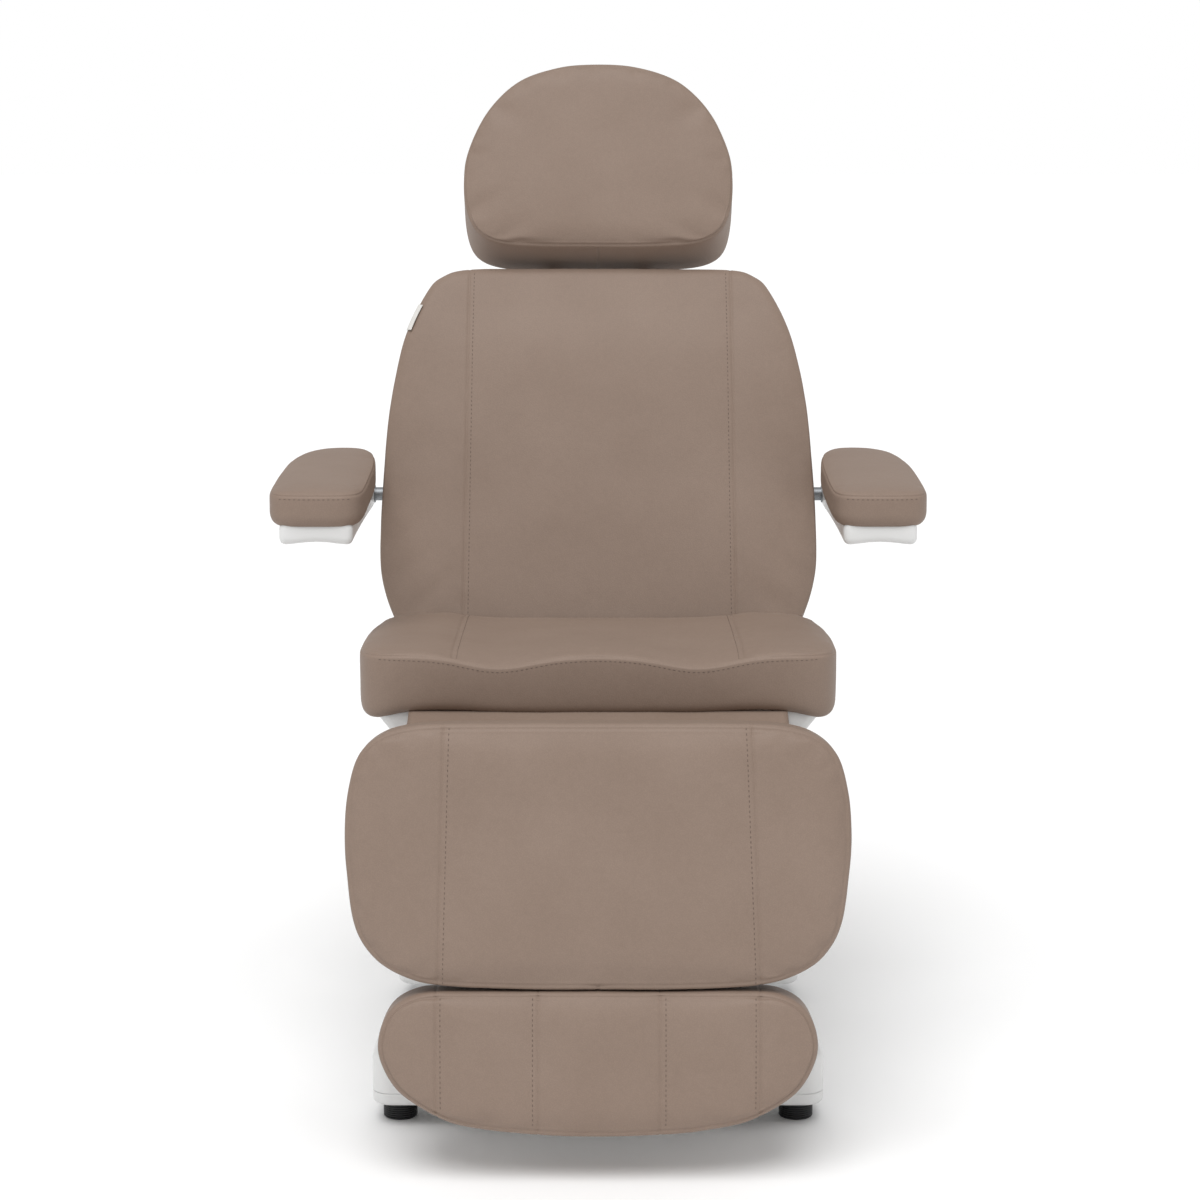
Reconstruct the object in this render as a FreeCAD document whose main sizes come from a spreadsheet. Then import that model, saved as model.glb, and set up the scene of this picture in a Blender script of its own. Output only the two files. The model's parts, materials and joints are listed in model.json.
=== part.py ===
import FreeCAD, Part
import Sketcher
import os
import re
from FreeCAD import Placement, Rotation, Vector

# Electric beauty chair on a lifting column, in millimetres.
# The front faces -Y, the floor is z = 0 and the lifting column stands on the origin.
# The backrest is modelled upright and the legrest level, each with its hinge at its own origin.

SIZES = {
    # Seat
    "seat_reach": 312.5, "seat_depth": 425, "seat_half_width": 310, "seat_height": 640,
    "seat_dip": 23, "seat_foam": 80, "seat_board": 14, "seat_board_inset": 35, "board_setback": 15,
    "rail_height": 40, "rail_width": 40, "rail_spacing": 300, "rail_wall": 3, "rail_setback": 12,
    "cross_width": 40, "plate_thick": 10, "plate_half_width": 106, "plate_half_depth": 110,
    "skirt_inset": 13, "skirt_drop": 52, "skirt_slope": 50, "skirt_wall": 3,
    # Hinges of the seat frame
    "bracket_thick": 8, "side_gap": 2, "knuckle": 14, "knuckle_flat": 6, "fit_gap": 0.05, "pin_overhang": 6,
    "back_hinge_setback": 74, "back_hinge_rise": 9, "back_pin_radius": 7,
    "leg_hinge_reach": 42, "leg_hinge_drop": 14, "leg_pin_radius": 6,
    # Backrest
    "recline": 21, "back_face": 60, "back_foam": 80, "back_toe": 30, "back_length": 599,
    "back_toe_thick": 18, "back_taper": 90, "back_foot_half": 288, "back_waist_half": 316,
    "back_shoulder_half": 288, "back_crown_half": 205, "back_waist_low": 130, "back_waist_high": 260,
    "back_shoulder_drop": 115, "back_board": 12, "back_board_inset": 22, "back_board_foot": 92,
    "back_rail_depth": 20, "back_rail_top_drop": 70, "back_cross_height": 30, "back_cross_upper": 300,
    # Headrest
    "head_gap": 29, "head_half_width": 200, "head_straight": 82, "head_foam": 80, "head_board": 10,
    "head_board_inset": 12, "head_post_radius": 8, "head_post_spacing": 140, "head_post_length": 200,
    "head_guide_wall": 3, "head_guide_length": 180, "head_guide_back": 4, "head_bush_length": 30,
    "head_bush_lip": 3, "head_hinge_rise": 14, "head_yoke_half": 10, "head_plate_thick": 4,
    "head_plate_half": 50, "head_plate_height": 85, "head_lug_half": 38, "head_lug_thick": 8,
    # Armrests
    "arm_rise": 76, "arm_foam": 43, "arm_inner": 318, "arm_outer": 441, "arm_reach": 491.5,
    "arm_length": 400, "arm_shell_inset_in": 18, "arm_shell_inset_out": 13, "arm_shell_front": 27,
    "arm_shell_wall": 7, "arm_hub_round": 22, "arm_hub_radius": 13, "arm_bar_radius": 10,
    "arm_bar_up": 247, "arm_clamp_depth": 28, "arm_round": 36,
    # Legrest
    "leg_drop": 82, "leg_face": 104, "leg_foam": 75, "leg_heel": 34, "leg_length": 333,
    "leg_half_width": 319, "leg_top_half": 285, "leg_toe_half": 215, "leg_shoulder": 70,
    "leg_board": 12, "leg_board_inset": 25, "leg_rail_height": 26, "leg_rail_start": 16,
    "leg_rail_stop": 45, "leg_lug_overlap": 10, "leg_cross_width": 30, "leg_cross_thick": 8,
    "leg_cross_first": 30, "leg_cross_last": 220, "pad_round": 60,
    # Footrest
    "foot_gap": 4, "foot_length": 186, "foot_half_width": 278, "foot_top_half": 225,
    "foot_shoulder": 60, "foot_toe_half": 90, "foot_board_inset": 25, "foot_rod_radius": 10,
    "foot_rod_spacing": 200, "foot_rod_start": 90, "foot_guide_start": 62, "foot_plate_half": 125,
    "foot_plate_inset": 30, "foot_round": 45,
    # Cranks and their actuators
    "crank_thick": 8, "crank_gap": 2, "crank_pin_radius": 6, "crank_pin_overhang": 2, "actuator_side": 130,
    "back_crank_rear": 66.5, "back_crank_drop": 52.9, "leg_crank_reach": 52.5, "leg_crank_drop": 60.4,
    "rod_radius": 10, "rod_plate_half": 17, "rod_plate_half_height": 30, "rod_slot_half": 9,
    "rod_slot_half_height": 21, "back_axis_drop": 76, "leg_axis_drop": 70, "barrel_radius": 18,
    "gearbox_half": 22, "gearbox_length": 80, "motor_radius": 21, "motor_length": 90,
    "rod_length": 230, "barrel_margin": 155, "back_rod_out": 112, "leg_rod_out": 28, "hanger_half": 8,
    # Lifting column
    "column_half_width": 75, "column_half_depth": 60, "column_wall": 4, "column_head": 16,
    "column_foot": 18, "guide_gap": 8, "slide_gap": 0.3, "guide_height": 58, "guide_half": 30,
    "shoe_height": 30, "cover_gap": 20, "cover_wall": 3, "cover_slip": 4, "upper_cover_wall": 4,
    "lower_cover_head": 26, "upper_cover_height": 306, "lift_motor_half": 36, "lift_motor_height": 68,
    "lift_tube_radius": 22, "lift_rod_radius": 16, "lift_rod_start": 20, "lift_tube_head": 36,
    # Base
    "base_half_width": 303, "base_half_depth": 313, "base_top": 105, "base_under": 33, "base_end": 100,
    "base_web_half": 140, "base_round": 14, "base_opening_gap": 4, "base_leg_inset": 23,
    "base_leg_half": 35, "base_leg_height": 52, "base_leg_wall": 3, "spine_half_width": 90,
    "flange_thick": 8, "flange_half_width": 130, "flange_half_depth": 115, "foot_side": 268,
    "foot_tuck": 52, "foot_ahead": 263, "foot_radius": 23, "foot_neck": 14, "foot_disc": 22,
    "foot_height": 32,
    "screw_radius": 5, "screw_gap": 0.2, "screw_length": 60, "nut_radius": 10, "nut_height": 8,
    "control_depth": 45, "control_length": 160, "control_height": 40, "control_start": 40,
    "inlet_length": 48, "inlet_height": 26, "inlet_depth": 28, "inlet_lip": 6, "inlet_lip_thick": 2,
    "inlet_start": 130, "inlet_up": 62,
    # Sheet that closes the gap between seat and legrest
    "flap_half_width": 248, "flap_thick": 1.6, "flap_length": 78.5, "flap_gap": 0.3,
}

doc = FreeCAD.newDocument("beauty_chair")
sheet = doc.addObject("Spreadsheet::Sheet", "dims")
for row, (alias, value) in enumerate(SIZES.items(), start=1):
    sheet.set(f"A{row}", str(value))
    sheet.setAlias(f"A{row}", alias)
doc.recompute()

ACROSS = Vector(1, 0, 0)
ALONG = Vector(0, 1, 0)
NEAR = 0.01
SHORT = 1


def linked(text):
    return re.sub(r"[a-z][a-z_]+", lambda word: f"dims.{word[0]}" if word[0] in SIZES else word[0], text)


def bind(item, prop, text):
    item.setExpression(prop, linked(text))


def spot(item, x="0", y="0", z="0"):
    bind(item, "Placement.Base.x", x)
    bind(item, "Placement.Base.y", y)
    bind(item, "Placement.Base.z", z)


def box(name, x, y, z):
    item = doc.addObject("Part::Box", name)
    for prop, span in (("Length", x), ("Width", y), ("Height", z)):
        bind(item, prop, f"({span[1]}) - ({span[0]})")
    spot(item, x[0], y[0], z[0])
    return item


def rod(name, axis, radius, span, first, second):
    # A round bar along one axis; first and second are its other two coordinates in X, Y, Z order.
    item = doc.addObject("Part::Cylinder", name)
    bind(item, "Radius", radius)
    bind(item, "Height", f"({span[1]}) - ({span[0]})")
    if axis == "x":
        item.Placement = Placement(Vector(), Rotation(ALONG, 90))
        spot(item, span[0], first, second)
    elif axis == "y":
        item.Placement = Placement(Vector(), Rotation(ACROSS, -90))
        spot(item, first, span[0], second)
    else:
        spot(item, first, second, span[0])
    return item


def cut(name, base, *tools):
    item = doc.addObject("Part::Cut", name)
    item.Base = base
    item.Tool = tools[0] if len(tools) == 1 else fuse(name + "_tools", *tools)
    return item


def fuse(name, *shapes):
    item = doc.addObject("Part::MultiFuse", name)
    item.Shapes = list(shapes)
    item.Refine = True
    return item


def group(name, *shapes):
    item = doc.addObject("Part::Compound", name)
    item.Links = list(shapes)
    return item


def mirror(name, source, normal=ACROSS):
    item = doc.addObject("Part::Mirroring", name)
    item.Source = source
    item.Base = Vector()
    item.Normal = normal
    return item


def both(name, source, normal=ACROSS):
    return group(name, source, mirror(name + "_opposite", source, normal))


def tube(name, x, y, z, wall, axis):
    # A rectangular tube whose ends are open along one axis.
    bore = [[f"({low}) + {wall}", f"({high}) - {wall}"] for low, high in (x, y, z)]
    bore["xyz".index(axis)] = (x, y, z)["xyz".index(axis)]
    return cut(name, box(name + "_outer", x, y, z), box(name + "_bore", *bore))


def sketch_on(body, role, name, offset):
    plane = [item for item in body.Origin.OriginFeatures if item.Role == role][0]
    sketch = body.newObject("Sketcher::SketchObject", name)
    sketch.AttachmentSupport = (plane, [""])
    sketch.MapMode = "FlatFace"
    bind(sketch, "AttachmentOffset.Base.z", offset)
    return sketch


def value_of(text):
    number = sheet.evalExpression(linked(text))
    return float(getattr(number, "Value", number))


def outline(sketch, points):
    # A closed outline whose corners are each tied to the sheet.
    corners = [Vector(value_of(u), value_of(v), 0) for u, v in points]
    start = sketch.GeometryCount
    count = len(points)
    for index in range(count):
        sketch.addGeometry(Part.LineSegment(corners[index], corners[(index + 1) % count]), False)
    for index in range(count):
        following = start + (index + 1) % count
        sketch.addConstraint(Sketcher.Constraint("Coincident", start + index, 2, following, 1))
    for index, (u, v) in enumerate(points):
        for kind, text, number in (("DistanceX", u, corners[index].x), ("DistanceY", v, corners[index].y)):
            place = sketch.addConstraint(Sketcher.Constraint(kind, -1, 1, start + index, 1, number))
            bind(sketch, f"Constraints[{place}]", text)


def hole(sketch, u, v, radius):
    circle = Part.Circle(Vector(value_of(u), value_of(v), 0), Vector(0, 0, 1), value_of(radius))
    index = sketch.addGeometry(circle, False)
    for kind, text in (("DistanceX", u), ("DistanceY", v)):
        place = sketch.addConstraint(Sketcher.Constraint(kind, -1, 1, index, 3, value_of(text)))
        bind(sketch, f"Constraints[{place}]", text)
    place = sketch.addConstraint(Sketcher.Constraint("Radius", index, value_of(radius)))
    bind(sketch, f"Constraints[{place}]", radius)


def plate(name, role, points, span, holes=()):
    # A flat piece cut to an outline, lying between the two ends of span along the plane's normal.
    low, high = span
    body = doc.addObject("PartDesign::Body", name)
    flipped = role == "XZ_Plane"
    sketch = sketch_on(body, role, name + "_sketch", f"-({high})" if flipped else low)
    outline(sketch, points)
    for u, v, radius in holes:
        hole(sketch, u, v, radius)
    pad = body.newObject("PartDesign::Pad", name + "_pad")
    pad.Profile = sketch
    bind(pad, "Length", f"({high}) - ({low})")
    return body


def pocket(body, role, points, offset, depth, through=False):
    sketch = sketch_on(body, role, f"{body.Name}_cut_{len(body.Group)}", offset)
    outline(sketch, points)
    item = body.newObject("PartDesign::Pocket", f"{body.Name}_pocket_{len(body.Group)}")
    item.Profile = sketch
    if through:
        item.Type = "ThroughAll"
        item.Midplane = True
    else:
        bind(item, "Length", depth)
    return item


def soften(body, picks, radius):
    # Rounds the edges of the body's last feature that picks accepts.
    doc.recompute()
    base = body.Tip
    names = [f"Edge{number}" for number, edge in enumerate(base.Shape.Edges, start=1) if picks(edge)]
    item = body.newObject("PartDesign::Fillet", f"{body.Name}_round_{len(body.Group)}")
    item.Base = (base, names)
    bind(item, "Radius", radius)
    return item


def runs_along(axis):
    # Picks straight edges that are parallel to one axis.
    def picks(edge):
        extents = {"x": edge.BoundBox.XLength, "y": edge.BoundBox.YLength, "z": edge.BoundBox.ZLength}
        return extents.pop(axis) > SHORT and max(extents.values()) < NEAR
    return picks


def sides(half_widths):
    # Mirrors a list of right-hand corners, lower end first, into a whole outline.
    left = [(f"-({u})", v) for u, v in reversed(half_widths)]
    return half_widths + left


# Levels and lines that several pieces share
board_under = "seat_height - seat_foam - seat_board"
rail_under = board_under + " - rail_height"
plate_under = rail_under + " - plate_thick"
seat_rear = "seat_depth - seat_reach"
rail_front = "0 - seat_reach + rail_setback"
rail_rear = seat_rear + " - rail_setback"
rail_in = "rail_spacing / 2"
rail_out = rail_in + " + rail_width"
cushion_under = "seat_height - seat_foam"
back_y = seat_rear + " + back_hinge_setback"
back_z = board_under + " + back_hinge_rise"
leg_y = "0 - seat_reach - leg_hinge_reach"
leg_z = board_under + " - leg_hinge_drop"
leg_top = "base_top - cover_wall"
leg_bottom = leg_top + " - base_leg_height"

FRAMES = {
    "back": (back_y, back_z, "0 - recline"),
    "leg": (leg_y, leg_z, "leg_drop"),
}
nodes = []


def node(item, label=None, frame=None):
    # Names a finished piece and sets it into the frame of the part that carries it.
    item.Label = label or item.Name
    if frame:
        y, z, angle = FRAMES[frame]
        item.Placement = Placement(Vector(), Rotation(ACROSS, 1))
        spot(item, "0", y, z)
        bind(item, "Placement.Rotation.Angle", angle)
    nodes.append(item)
    return item


def base_parts():
    screw_hole = "screw_radius + screw_gap"
    x = ["0 - base_half_width + base_leg_inset", "base_half_width - base_leg_inset"]
    # The rear feet stand closer together than the front ones.
    stands = (("front", "0 - foot_ahead", "foot_side"), ("rear", "foot_ahead", "foot_side - foot_tuck"))
    legs = []
    for end, ahead, aside in stands:
        leg = tube(end + "_leg", x, [f"{ahead} - base_leg_half", f"{ahead} + base_leg_half"],
                   [leg_bottom, leg_top], "base_leg_wall", "x")
        span = [leg_bottom, leg_bottom + " + base_leg_wall"]
        holes = [rod(f"{end}_screw_hole_{side}", "z", screw_hole, span, f"{sign}({aside})", ahead)
                 for side, sign in (("right", ""), ("left", "-"))]
        legs.append(cut(end + "_leg_drilled", leg, *holes))
    node(group("base_legs", *legs))

    inner = "foot_ahead - base_leg_half"
    spine = tube("spine_tube", ["-spine_half_width", "spine_half_width"], [f"-({inner})", inner],
                 [leg_bottom, leg_top + " - flange_thick"], "base_leg_wall", "y")
    flange = box("column_flange", ["-flange_half_width", "flange_half_width"],
                 ["-flange_half_depth", "flange_half_depth"], [leg_top + " - flange_thick", leg_top])
    node(fuse("base_spine", spine, flange))

    pads = []
    screws = []
    for side in ("", "-"):
        for end, ahead, aside in stands:
            tag = f"{len(pads)}"
            place = (f"{side}({aside})", ahead)
            disc = rod("foot_disc_" + tag, "z", "foot_radius", ["0", "foot_disc"], *place)
            neck = doc.addObject("Part::Cone", "foot_neck_" + tag)
            bind(neck, "Radius1", "foot_radius")
            bind(neck, "Radius2", "foot_neck")
            bind(neck, "Height", "foot_height - foot_disc")
            spot(neck, *place, "foot_disc")
            pads.append(fuse("foot_pad_" + tag, disc, neck))
            stem = rod("screw_stem_" + tag, "z", "screw_radius",
                       ["foot_height", "foot_height + screw_length"], *place)
            nut = doc.addObject("Part::Prism", "screw_nut_" + tag)
            nut.Polygon = 6
            bind(nut, "Circumradius", "nut_radius")
            bind(nut, "Height", "nut_height")
            spot(nut, *place, leg_bottom + " - nut_height")
            screws.append(fuse("screw_" + tag, stem, nut))
    node(group("levelling_pads", *pads))
    node(group("levelling_screws", *screws))


def base_shell():
    # One moulded cover over both feet and the web between them, open underneath.
    def footprint(inset):
        end = f"base_half_depth - {inset}"
        shoulder = f"base_half_depth - base_end + {inset}"
        wide = f"base_half_width - {inset}"
        web = f"base_web_half - {inset}"
        right = [(wide, f"-({end})"), (wide, f"-({shoulder})"), (web, f"-({shoulder})"),
                 (web, shoulder), (wide, shoulder), (wide, end)]
        return sides(right)

    cover = plate("base_cover_shell", "XY_Plane", footprint("0"), ["base_under", "base_top"])
    top = value_of("base_top")
    reach = value_of("base_half_width") - SHORT
    upright = runs_along("z")
    soften(cover, lambda edge: upright(edge) and abs(edge.CenterOfMass.x) > reach, "base_round")
    soften(cover, lambda edge: abs(edge.BoundBox.ZMin - top) < NEAR, "base_round / 2")
    hollow = pocket(cover, "XY_Plane", footprint("cover_wall"), "base_under",
                    "base_top - base_under - cover_wall")
    hollow.Reversed = True
    gap_x = "column_half_width + base_opening_gap"
    gap_y = "column_half_depth + base_opening_gap"
    pocket(cover, "XY_Plane", sides([(gap_x, f"-({gap_y})"), (gap_x, gap_y)]), "base_top", "2 * cover_wall")
    y = ["inlet_start - slide_gap", "inlet_start + inlet_length + slide_gap"]
    z = ["inlet_up - slide_gap", "inlet_up + inlet_height + slide_gap"]
    mouth = box("inlet_mouth", ["base_web_half - 2 * cover_wall", "base_web_half + cover_wall"], y, z)
    node(cut("base_cover", cover, mouth))

    body = box("inlet_body", ["base_web_half - inlet_depth", "base_web_half"],
               ["inlet_start", "inlet_start + inlet_length"], ["inlet_up", "inlet_up + inlet_height"])
    lip = box("inlet_rim", ["base_web_half", "base_web_half + inlet_lip_thick"],
              ["inlet_start - inlet_lip", "inlet_start + inlet_length + inlet_lip"],
              ["inlet_up - inlet_lip", "inlet_up + inlet_height + inlet_lip"])
    socket = box("inlet_socket",
                 ["base_web_half - inlet_depth + inlet_lip", "base_web_half + inlet_lip_thick"],
                 ["inlet_start + inlet_lip", "inlet_start + inlet_length - inlet_lip"],
                 ["inlet_up + inlet_lip_thick", "inlet_up + inlet_height - inlet_lip_thick"])
    node(cut("power_inlet", fuse("inlet_block", body, lip), socket))
    node(box("control_box", ["0 - spine_half_width - control_depth", "-spine_half_width"],
             ["control_start", "control_start + control_length"],
             [leg_bottom, leg_bottom + " + control_height"]))


def column_parts():
    def walls(half_x, half_y, span, wall, name):
        return tube(name, [f"-({half_x})", half_x], [f"-({half_y})", half_y], span, wall, "z")

    def four_plates(name, start_x, start_y, thick, span):
        x = box(name + "_x", [start_x, f"{start_x} + {thick}"], ["-guide_half", "guide_half"], span)
        y = box(name + "_y", ["-guide_half", "guide_half"], [start_y, f"{start_y} + {thick}"], span)
        return group(name, x, mirror(name + "_left", x), y, mirror(name + "_front", y, ALONG))

    inner_x = "column_half_width - column_wall - guide_gap"
    inner_y = "column_half_depth - column_wall - guide_gap"
    pad = "guide_gap - slide_gap"
    head = plate_under + " - column_head"
    foot = leg_top + " + column_foot"
    node(walls("column_half_width", "column_half_depth", [leg_top, head], "column_wall", "column_outer"))
    node(four_plates("column_guide_pads", inner_x + " + slide_gap", inner_y + " + slide_gap", pad,
                     [head + " - guide_height", head]))
    node(walls(inner_x, inner_y, [foot, plate_under], "column_wall", "column_inner"))
    node(four_plates("column_slide_shoes", inner_x, inner_y, pad, [foot, foot + " + shoe_height"]))

    low_x = "column_half_width + cover_gap"
    low_y = "column_half_depth + cover_gap"
    slip = " + cover_slip + upper_cover_wall"
    node(walls(low_x, low_y, ["base_top", plate_under + " - lower_cover_head"], "cover_wall",
               "column_lower_cover"))
    node(walls(low_x + slip, low_y + slip, [plate_under + " - upper_cover_height", plate_under],
               "upper_cover_wall", "column_upper_cover"))

    square = ["-lift_motor_half", "lift_motor_half"]
    motor = box("lift_gearbox", square, square, [leg_top, leg_top + " + lift_motor_height"])
    barrel = rod("lift_barrel", "z", "lift_tube_radius",
                 [leg_top + " + lift_motor_height", plate_under + " - lift_tube_head"], "0", "0")
    bore = rod("lift_bore", "z", "lift_rod_radius + fit_gap",
               [leg_top + " + lift_motor_height / 2", plate_under], "0", "0")
    node(cut("lift_actuator", fuse("lift_actuator_solid", motor, barrel), bore))
    start = leg_top + " + lift_motor_height + lift_rod_start"
    node(rod("lift_rod", "z", "lift_rod_radius", [start, plate_under], "0", "0"))


def seat_parts():
    node(box("seat_plate", ["-plate_half_width", "plate_half_width"],
             ["-plate_half_depth", rail_rear], [plate_under, rail_under]))
    high = [rail_under, board_under]
    node(both("seat_rails", tube("seat_rail", [rail_in, rail_out], [rail_front, rail_rear], high,
                                 "rail_wall", "y")))
    starts = [("front", rail_front), ("middle", "0 - plate_half_depth"),
              ("rear", rail_rear + " - cross_width")]
    crosses = [tube("seat_cross_" + tag, [f"-({rail_in})", rail_in], [y, y + " + cross_width"], high,
                    "rail_wall", "x") for tag, y in starts]
    node(group("seat_cross_tubes", *crosses))
    board = ["0 - seat_half_width + seat_board_inset", "seat_half_width - seat_board_inset"]
    node(box("seat_panel", board, ["0 - seat_reach + board_setback", seat_rear + " - board_setback"],
             [board_under, cushion_under]))

    profile = [("0 - seat_reach", cushion_under), (seat_rear, cushion_under),
               (seat_rear, "seat_height - seat_dip"), ("0 - seat_reach", "seat_height")]
    cushion = plate("seat_cushion", "YZ_Plane", profile, ["-seat_half_width", "seat_half_width"])
    level = value_of(cushion_under) + SHORT
    soften(cushion, lambda edge: edge.BoundBox.ZMin > level, "seat_foam / 4")
    node(cushion)

    top_x = "seat_half_width - skirt_inset"
    low_x = top_x + " - skirt_slope"
    low_z = cushion_under + " - skirt_drop"
    wall = "skirt_wall"
    section = [(rail_out, low_z), (low_x, low_z), (top_x, f"{low_z} + skirt_slope"), (top_x, cushion_under),
               (rail_out, cushion_under)]
    span = [rail_front, rail_rear]
    skirt = plate("seat_skirt", "XZ_Plane", section, span)
    slant = "sqrt(2) * skirt_wall"
    inside = f"{rail_out} - {wall}"
    above = f"{cushion_under} + {wall}"
    hollow = [(inside, f"{low_z} + {wall}"), (f"{low_x} + {wall} - {slant}", f"{low_z} + {wall}"),
              (f"{top_x} - {slant}", f"{low_z} + skirt_slope"), (f"{top_x} - {slant}", above),
              (inside, above)]
    pocket(skirt, "XZ_Plane", hollow, f"-({rail_rear} - {wall})",
           f"({rail_rear}) - ({rail_front}) - 2 * {wall}").Reversed = True
    node(skirt, "seat_skirt_right")
    node(mirror("seat_skirt_left", skirt))

    edge = f"{rail_front} - flap_gap"
    top = f"{cushion_under} - flap_gap"
    node(box("gap_flap", ["-flap_half_width", "flap_half_width"], [f"{edge} - flap_length", edge],
             [f"{top} - flap_thick", top]))


def hinge_parts():
    out = rail_in
    inside = f"{rail_in} - bracket_thick"
    ear = [(rail_front, f"{leg_z} - knuckle"), (rail_front, f"{leg_z} + knuckle"),
           (f"{leg_y} - knuckle_flat", f"{leg_z} + knuckle"),
           (f"{leg_y} - knuckle", f"{leg_z} + knuckle_flat"), (f"{leg_y} - knuckle", f"{leg_z} - knuckle")]
    bracket = plate("leg_bracket", "YZ_Plane", ear, [inside, out],
                    [(leg_y, leg_z, "leg_pin_radius + fit_gap")])
    node(both("leg_hinge_brackets", bracket))
    pin = rod("leg_pin", "x", "leg_pin_radius",
              [f"{inside} - pin_overhang", f"{out} + side_gap + bracket_thick + pin_overhang"], leg_y, leg_z)
    node(both("leg_hinge_pins", pin))

    low = f"{out} + side_gap"
    ear = [(rail_rear, rail_under), (f"{rail_rear} + rail_width", rail_under),
           (f"{back_y} + knuckle", f"{back_z} - knuckle"),
           (f"{back_y} + knuckle", f"{back_z} + knuckle_flat"),
           (f"{back_y} + knuckle_flat", f"{back_z} + knuckle"),
           (f"{back_y} - knuckle_flat", f"{back_z} + knuckle"),
           (f"{back_y} - knuckle", f"{back_z} + knuckle_flat"),
           (f"{back_y} - 2 * knuckle", f"{back_z} - 1.5 * knuckle"), (rail_rear, f"{back_z} - 2.5 * knuckle")]
    bracket = plate("back_bracket", "YZ_Plane", ear, [low, f"{low} + bracket_thick"],
                    [(back_y, back_z, "back_pin_radius + fit_gap")])
    node(both("back_hinge_brackets", bracket))
    far = f"{low} + 2 * bracket_thick + side_gap + pin_overhang"
    pin = rod("back_pin", "x", "back_pin_radius", [f"{low} - pin_overhang", far], back_y, back_z)
    node(both("back_hinge_pins", pin))


def actuator(name, side, end, axis_z, pin_y, out):
    # A motor-driven rod slung under the seat frame; end is -1 where the rod points to the front.
    x = f"{side}actuator_side"
    mouth = f"{pin_y} + ({end}) * (0 - rod_plate_half - {out})"
    tail = f"{mouth} - ({end}) * (seat_depth - barrel_margin)"
    back = f"{tail} - ({end}) * gearbox_length"

    def along(first, last):
        return [first, last] if end == 1 else [last, first]

    def hanger(tag, low_y):
        return box(f"{name}_{tag}", [f"{x} - hanger_half", f"{x} + hanger_half"],
                   [low_y, f"{low_y} + 2 * hanger_half"], [axis_z, rail_under])

    barrel = rod(name + "_barrel", "y", "barrel_radius", along(tail, mouth), x, axis_z)
    gearbox = box(name + "_gearbox", [f"{x} - gearbox_half", f"{x} + gearbox_half"], along(back, tail),
                  [f"{axis_z} - gearbox_half", f"{axis_z} + gearbox_half"])
    motor = rod(name + "_motor", "z", "motor_radius",
                [f"{axis_z} - gearbox_half - motor_length", f"{axis_z} - gearbox_half"],
                x, f"{tail} - ({end}) * gearbox_length / 2")
    bottom = f"{tail} + ({end}) * hanger_half"
    bore = rod(name + "_bore", "y", "rod_radius + fit_gap", along(bottom, mouth), x, axis_z)
    near = f"{rail_rear} - cross_width / 2 - hanger_half"
    hangers = [hanger("hanger_rear", near), hanger("hanger_middle", "0 - plate_half_depth + hanger_half")]
    node(cut(name, fuse(name + "_solid", barrel, gearbox, motor, *hangers), bore))

    joint = f"{pin_y} - ({end}) * rod_plate_half"
    inner = f"{joint} - ({end}) * rod_length"
    stem = rod(name + "_stem", "y", "rod_radius", along(inner, joint), x, axis_z)
    x_span = [f"{x} - crank_thick / 2", f"{x} + crank_thick / 2"]
    eye = box(name + "_eye", x_span, [f"{pin_y} - rod_plate_half", f"{pin_y} + rod_plate_half"],
              [f"{axis_z} - rod_plate_half_height", f"{axis_z} + rod_plate_half_height"])
    slot = box(name + "_slot", x_span, [f"{pin_y} - rod_slot_half", f"{pin_y} + rod_slot_half"],
               [f"{axis_z} - rod_slot_half_height", f"{axis_z} + rod_slot_half_height"])
    node(fuse(name + "_rod", stem, cut(name + "_fork", eye, slot)))


def drive_parts():
    turn = "recline * 1 deg"
    swing = "leg_drop * 1 deg"
    back_pin = f"{back_y} + back_crank_rear * cos({turn}) - back_crank_drop * sin({turn})"
    leg_pin = f"{leg_y} - leg_crank_reach * cos({swing}) + leg_crank_drop * sin({swing})"
    actuator("back_actuator", "", 1, f"{back_z} - back_axis_drop", back_pin, "back_rod_out")
    actuator("leg_actuator", "-", -1, f"{leg_z} - leg_axis_drop", leg_pin, "leg_rod_out")

    beside = "actuator_side + crank_thick / 2 + crank_gap"
    span = [beside, f"{beside} + crank_thick"]
    reach = ["actuator_side - crank_thick / 2 - crank_pin_overhang",
             f"{beside} + crank_thick + crank_pin_overhang"]
    rear = "back_foam - back_face + back_board"
    foot = "back_board_foot - back_toe"
    pin = ("back_crank_rear", "0 - back_crank_drop")
    lever = [(rear, foot), (f"{pin[0]} - knuckle", pin[1]), (pin[0], f"{pin[1]} - knuckle"),
             (f"{pin[0]} + knuckle", pin[1]), (f"{rear} + back_rail_depth", foot)]
    arm = plate("back_lever", "YZ_Plane", lever, span)
    node(fuse("back_crank", arm, rod("back_crank_pin", "x", "crank_pin_radius", reach, *pin)), frame="back")

    under = "leg_face - leg_foam - leg_board - leg_rail_height - leg_cross_thick"
    pin = ("0 - leg_crank_reach", "0 - leg_crank_drop")
    lever = [("0 - leg_cross_first - leg_cross_width", under), (f"{pin[0]} - knuckle", pin[1]),
             (pin[0], f"{pin[1]} - knuckle"), (f"{pin[0]} + knuckle", pin[1]), ("-leg_cross_first", under)]
    arm = plate("leg_lever", "YZ_Plane", lever, [f"-({span[1]})", f"-({span[0]})"])
    stud = rod("leg_crank_pin", "x", "crank_pin_radius", [f"-({reach[1]})", f"-({reach[0]})"], *pin)
    node(fuse("leg_crank", arm, stud), frame="leg")


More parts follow.
